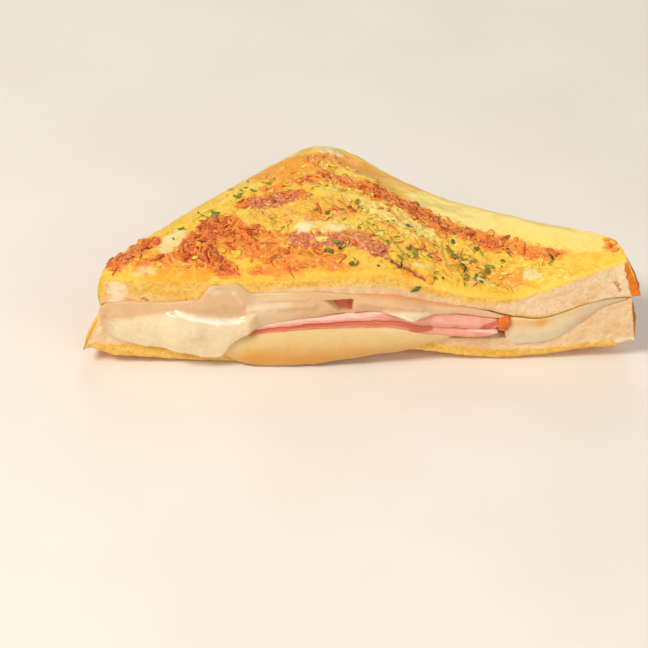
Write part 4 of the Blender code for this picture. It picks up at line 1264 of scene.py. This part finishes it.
def make_ham_fold():
    """The fold of ham that stands up in the slot of the cheese."""
    columns, rows = FOLD_GRID
    x, t = np.meshgrid(np.linspace(*FOLD_ENDS, columns), np.linspace(0, 1, rows), indexing="ij")
    share = (x - FOLD_ENDS[0]) / (FOLD_ENDS[1] - FOLD_ENDS[0])
    low, high = FOLD_HEIGHTS[0] + 0.4 * np.sin(share * 5), FOLD_HEIGHTS[1] + 0.4 * share
    y = 1.1 + 1.6 * t - 1.2 * np.sin(math.pi * t) * (0.6 + 0.4 * share)
    front = np.stack([x, y, low + (high - low) * t], -1)
    rings = np.concatenate([front, front[:, ::-1] + (0.0, FOLD_THICKNESS, 0.0)], 1)
    # Painted shade: the fold is darker red towards its top, where it lies in the shade of the slot.
    red = 1 - 0.5 * fall(rings[..., 2], 17.4, 0.8)
    points = raised(rings, 0.12 * noise(rings, 1.8, 271))
    return build("ham_fold_flap", points, HAM, {"tint": painted(0 * red, red, 0.12)})


def rounded_rings(turns, profile, reach, ring):
    """Rings of a small shape, one for each (away, size) of its profile, placed by ring."""
    return np.array([ring(size * reach * np.cos(turns), size * reach * np.sin(turns), away)
                     for away, size in profile])


RIND_MIDDLE = (36.3, 12.5)
RIND_SIZE = (1.8, 2.2)
RIND_PROFILE = ((-1.5, 0.35), (-1.35, 0.7), (-1.0, 0.92), (-0.4, 1.0), (1.0, 1.0), (3.0, 0.95), (8.0, 0.85))


def make_browned_end():
    """The rounded block of browned rind at the right end of the ham."""
    turns = np.linspace(0, 2 * math.pi, 40, endpoint=False)
    blocky = (np.cos(turns) ** 4 + np.sin(turns) ** 4) ** -0.25
    (middle_x, middle_z), (half_x, half_z) = RIND_MIDDLE, RIND_SIZE
    rings = rounded_rings(turns, RIND_PROFILE, blocky, lambda along, across, away: np.stack(
        [middle_x + half_x * along, away + 0 * along, middle_z + half_z * across], -1))
    one = np.ones(rings.shape[:2])
    points = raised(rings, 0.3 * noise(rings, 1.6, 261))
    return build("ham_browned_end_rind", points, HAM, {"tint": painted(0 * one, 0.4, 1.0)})


# What is strewn on the fried top

LEAF_MIDDLE = (12.6, 23.6)
LEAF_SIZE = (1.4, 0.7)
LEAF_PROFILE = ((0.0, 0.7), (-0.2, 1.0), (-0.42, 0.6))
LEAF_REACH = np.array([1.0, 0.8, 1.05, 0.7, 0.9, 1.1, 0.75, 1.0, 0.85])


def make_front_leaf():
    """The one leaf that sticks to the cut of the upper slice."""
    turns = np.linspace(0, 2 * math.pi, len(LEAF_REACH), endpoint=False)
    (middle_x, middle_z), (length, width) = LEAF_MIDDLE, LEAF_SIZE

    def ring(along, across, away):
        along, across = length * along, width * across
        return np.stack(
            [middle_x + along - 0.3 * across, away + 0.1 * along, middle_z + across + 0.5 * along], -1)

    rings = rounded_rings(turns, LEAF_PROFILE, LEAF_REACH, ring)
    one = np.ones(rings.shape[:2])
    return build("herb_front_leaf", rings, HERB, {"own": painted(0.3 * one, 0.0, 1.0)})


def strip(length, width, thickness, bend, arch):
    """Rings of a short bent shred along X that thins out at its ends."""
    rings = []
    for t in np.linspace(-1, 1, 7):
        full = math.sqrt(max(1 - t**4, 0.03))
        x, y, z = length / 2 * t, bend * (1 - t * t), arch * (1 - t * t)
        half_width, half_height = width / 2 * full, thickness / 2 * full
        rings.append([(x, y - half_width, z), (x, y, z + half_height), (x, y + half_width, z),
                      (x, y, z - half_height)])
    return np.array(rings)


def flake(length, width, thickness, curl, seed):
    """Rings of a small torn leaf with a ragged edge."""
    turns = np.linspace(0, 2 * math.pi, 7, endpoint=False)
    reach = 1 + 0.45 * (np.random.default_rng(seed).random(7) - 0.5)

    def ring(along, across, away):
        return np.stack(
            [length / 2 * along, width / 2 * across, thickness * away + curl * (along**2 - 0.4)], -1)

    return rounded_rings(turns, ((-0.5, 0.7), (0.0, 1.0), (0.5, 0.6)), reach, ring)


# The shapes that are strewn, with their sizes in millimetres and for a flake its seed.
STRAYS = {
    "shred": strip(4.4, 0.9, 0.3, 0.5, 0.12), "wide_flake": flake(3.6, 2.2, 0.3, 0.45, 5),
    "bit": flake(1.9, 1.3, 0.4, -0.2, 6), "leaf": flake(2.0, 1.15, 0.16, 0.25, 3),
    "torn": flake(1.4, 0.9, 0.18, -0.15, 8), "needle": strip(2.4, 0.34, 0.22, 0.2, 0.1),
}
# Each strewn piece: shape, painted amount, finish, slot, copies for a square metre, seed, least and most
# size, lift.
STREWN = (
    ("browned_flakes", "wide_flake", "shred_amount", SHRED, "fried_bread", 0.09e6, 3, 0.5, 1.3, 0.1),
    ("browned_bits", "bit", "shred_amount", SHRED, "fried_bread", 0.13e6, 4, 0.4, 1.3, 0.06),
    ("browned_shreds", "shred", "shred_amount", SHRED, "fried_bread", 0.07e6, 10, 0.5, 1.2, 0.08),
    ("egg_flakes", "wide_flake", "melt_amount", MELT, "fried_bread", 0.05e6, 5, 0.5, 1.3, -0.02),
    ("egg_bits", "bit", "melt_amount", MELT, "fried_bread", 0.05e6, 6, 0.4, 1.3, -0.06),
    ("egg_shreds", "shred", "melt_amount", MELT, "fried_bread", 0.02e6, 11, 0.5, 1.2, -0.02),
    ("herb_leaves", "leaf", "herb_amount", HERB, "herb", 0.08e6, 7, 0.7, 1.6, 0.25),
    ("herb_pieces", "torn", "herb_amount", HERB, "herb", 0.07e6, 8, 0.4, 1.2, 0.22),
    ("herb_needles", "needle", "herb_amount", HERB, "herb", 0.16e6, 9, 0.5, 1.4, 0.25),
)
MOST_TILT = 0.22

SCATTER_INPUTS = (
    ("Shape", "Object", None), ("Amount", "String", ""), ("Density", "Float", 1.0), ("Seed", "Int", 0),
    ("Least size", "Vector", (1.0, 1.0, 1.0)), ("Most size", "Vector", (1.0, 1.0, 1.0)),
    ("Least turn", "Vector", (0.0, 0.0, 0.0)), ("Most turn", "Vector", (0.0, 0.0, 0.0)),
    ("Lift", "Float", 0.0),
    ("Finish", "Material", None),
)


def scatter_tree():
    """Strews copies of a shape over a ground, as thick as a painted amount says."""
    tree = bpy.data.node_groups.new("scatter", "GeometryNodeTree")
    tree.interface.new_socket("Geometry", in_out="INPUT", socket_type="NodeSocketGeometry")
    for name, kind, value in SCATTER_INPUTS:
        socket = tree.interface.new_socket(name, in_out="INPUT", socket_type="NodeSocket" + kind)
        if value is not None:
            socket.default_value = value
    tree.interface.new_socket("Geometry", in_out="OUTPUT", socket_type="NodeSocketGeometry")
    inputs = tree.nodes.new("NodeGroupInput").outputs
    node = Shade(tree).node

    def given(name):
        return Shade(tree, inputs[name])

    def random_vector(least, most):
        return node("FunctionNodeRandomValue", {"data_type": "FLOAT_VECTOR"}, {
            0: least, 1: most, "Seed": given("Seed")})

    amount = node("GeometryNodeInputNamedAttribute", {"data_type": "FLOAT"}, {"Name": given("Amount")})
    points = node("GeometryNodeDistributePointsOnFaces", {}, {
        "Mesh": given("Geometry"), "Density": amount * given("Density"), "Seed": given("Seed")})
    normal, rotation = (Shade(tree, points.socket.node.outputs[name]) for name in ("Normal", "Rotation"))
    lift = node("ShaderNodeVectorMath", {"operation": "SCALE"}, {0: normal, "Scale": given("Lift")})
    lifted = node("GeometryNodeSetPosition", {}, {"Geometry": points, "Offset": lift})
    turn = node("FunctionNodeEulerToRotation", {}, {
        0: random_vector(given("Least turn"), given("Most turn"))})
    facing = node("FunctionNodeRotateRotation", {"rotation_space": "LOCAL"}, {0: rotation, 1: turn})
    shape = node("GeometryNodeObjectInfo", {}, {"Object": given("Shape")}, "Geometry")
    copies = node("GeometryNodeInstanceOnPoints", {}, {
        "Points": lifted, "Instance": shape, "Rotation": facing,
        "Scale": random_vector(given("Least size"), given("Most size"))})
    own = random_vector((0.0, 0.0, 0.0), (1.0, 1.0, 1.0))
    named = node("GeometryNodeStoreNamedAttribute", {"data_type": "FLOAT_VECTOR", "domain": "INSTANCE"},
                 {"Geometry": copies, "Name": "own", "Value": own})
    real = node("GeometryNodeRealizeInstances", {}, {"Geometry": named})
    finished = node("GeometryNodeSetMaterial", {}, {"Geometry": real, "Material": given("Finish")})
    tree.links.new(finished.socket, tree.nodes.new("NodeGroupOutput").inputs[0])
    return tree


def scatter(name, ground, tree, values):
    """One plain mesh of shapes strewn over the ground, with values for the inputs by name."""
    carrier = linked(name + "_ground", ground.data)
    spread = carrier.modifiers.new("scatter", "NODES")
    spread.node_group = tree
    for socket in tree.interface.items_tree:
        if socket.in_out == "INPUT" and socket.name in values:
            spread[socket.identifier] = values[socket.name]
    depsgraph = bpy.context.evaluated_depsgraph_get()
    mesh = bpy.data.meshes.new_from_object(carrier.evaluated_get(depsgraph))
    mesh.name = name
    bpy.data.objects.remove(carrier)
    return linked(name, mesh)


def strew(ground):
    """The shreds and the herbs on the fried top, with their slots."""
    tree = scatter_tree()
    shapes = {name: linked(name, lofted(name, rings * MM)) for name, rings in STRAYS.items()}
    made = []
    for name, shape, amount, coat, slot, density, seed, least, most, lift in STREWN:
        piece = scatter(name, ground, tree, {
            "Shape": shapes[shape], "Amount": amount, "Density": density, "Seed": seed,
            "Least size": (least,) * 3, "Most size": (most,) * 3, "Least turn": (-MOST_TILT, -MOST_TILT, 0.0),
            "Most turn": (MOST_TILT, MOST_TILT, 2 * math.pi), "Lift": lift * MM, "Finish": coat})
        made.append((piece, slot))
    for shape in shapes.values():
        bpy.data.objects.remove(shape)
    return made


# Camera, light and floor

CAMERA_PLACE = (-33.26, -390.17, 279.35)
CAMERA_RIGHT = (0.99862, -0.04737, 0.02254)
CAMERA_UP = (0.01036, 0.59922, 0.80052)
CAMERA_FORWARD = (0.05143, 0.79918, -0.59888)
CAMERA_LENS = 94.7
SENSOR_WIDTH = 36.0

# Lamps as (name, place, size, power, colour), all turned to the middle of the food.
LAMPS = (
    ("key", (-0.5, -0.35, 0.7), 0.3, 5.6, (1.0, 0.97, 0.92)),
    ("fill", (0.4, -0.7, 0.4), 0.7, 1.9, (1.0, 0.97, 0.93)),
    ("back", (0.1, 0.7, 0.6), 0.6, 1.4, (1.0, 0.98, 0.96)),
)
LAMP_AIM = (0.0, 0.0, 0.01)
AROUND_COLOUR = (0.95, 0.93, 0.9, 1.0)
AROUND_STRENGTH = 0.36
FLOOR_REACH = 3.0
FLOOR_HEIGHT = -0.0002


def make_camera():
    data = bpy.data.cameras.new("view")
    data.lens = CAMERA_LENS
    data.sensor_width = SENSOR_WIDTH
    camera = linked("view", data)
    axes = Matrix((CAMERA_RIGHT, CAMERA_UP, tuple(-k for k in CAMERA_FORWARD))).transposed()
    camera.matrix_world = Matrix.Translation(Vector(CAMERA_PLACE) * MM) @ axes.to_4x4()
    bpy.context.scene.camera = camera


def make_studio():
    for name, where, size, power, tone in LAMPS:
        data = bpy.data.lights.new(name, "AREA")
        data.shape = "DISK"
        data.size = size
        data.energy = power
        data.color = tone
        lamp = linked(name, data)
        lamp.location = where
        lamp.rotation_euler = (Vector(LAMP_AIM) - Vector(where)).to_track_quat("-Z", "Y").to_euler()
    world = bpy.data.worlds.new("studio")
    world.use_nodes = True
    background = world.node_tree.nodes["Background"]
    background.inputs["Color"].default_value = AROUND_COLOUR
    background.inputs["Strength"].default_value = AROUND_STRENGTH
    bpy.context.scene.world = world
    bpy.context.scene.view_settings.view_transform = "Standard"
    mesh = bpy.data.meshes.new("floor")
    corners = [(i * FLOOR_REACH, j * FLOOR_REACH, FLOOR_HEIGHT)
               for i, j in ((-1, -1), (1, -1), (1, 1), (-1, 1))]
    mesh.from_pydata(corners, [], [(0, 1, 2, 3)])
    mesh.materials.append(finish("pale_floor", paint_floor))
    linked("floor", mesh)


def place(piece, slot, *nodes):
    """Hands a finished piece to the frame."""
    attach(piece, "root")
    if nodes:
        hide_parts(*nodes)


def main():
    make_camera()
    make_studio()
    top, ground = make_upper_slice()
    place(top, "fried_bread", "bread_top")
    for piece, slot in strew(ground):
        place(piece, slot)
    bpy.data.objects.remove(ground)
    place(make_front_leaf(), "herb")
    place(make_lower_slice(), "crumb", "bread_bottom")
    for layer in (*make_cheese(), *make_ham()):
        place(*layer)
    place(make_ham_fold(), "ham")
    place(make_browned_end(), "ham_rind", "ham_browned_end")


main()
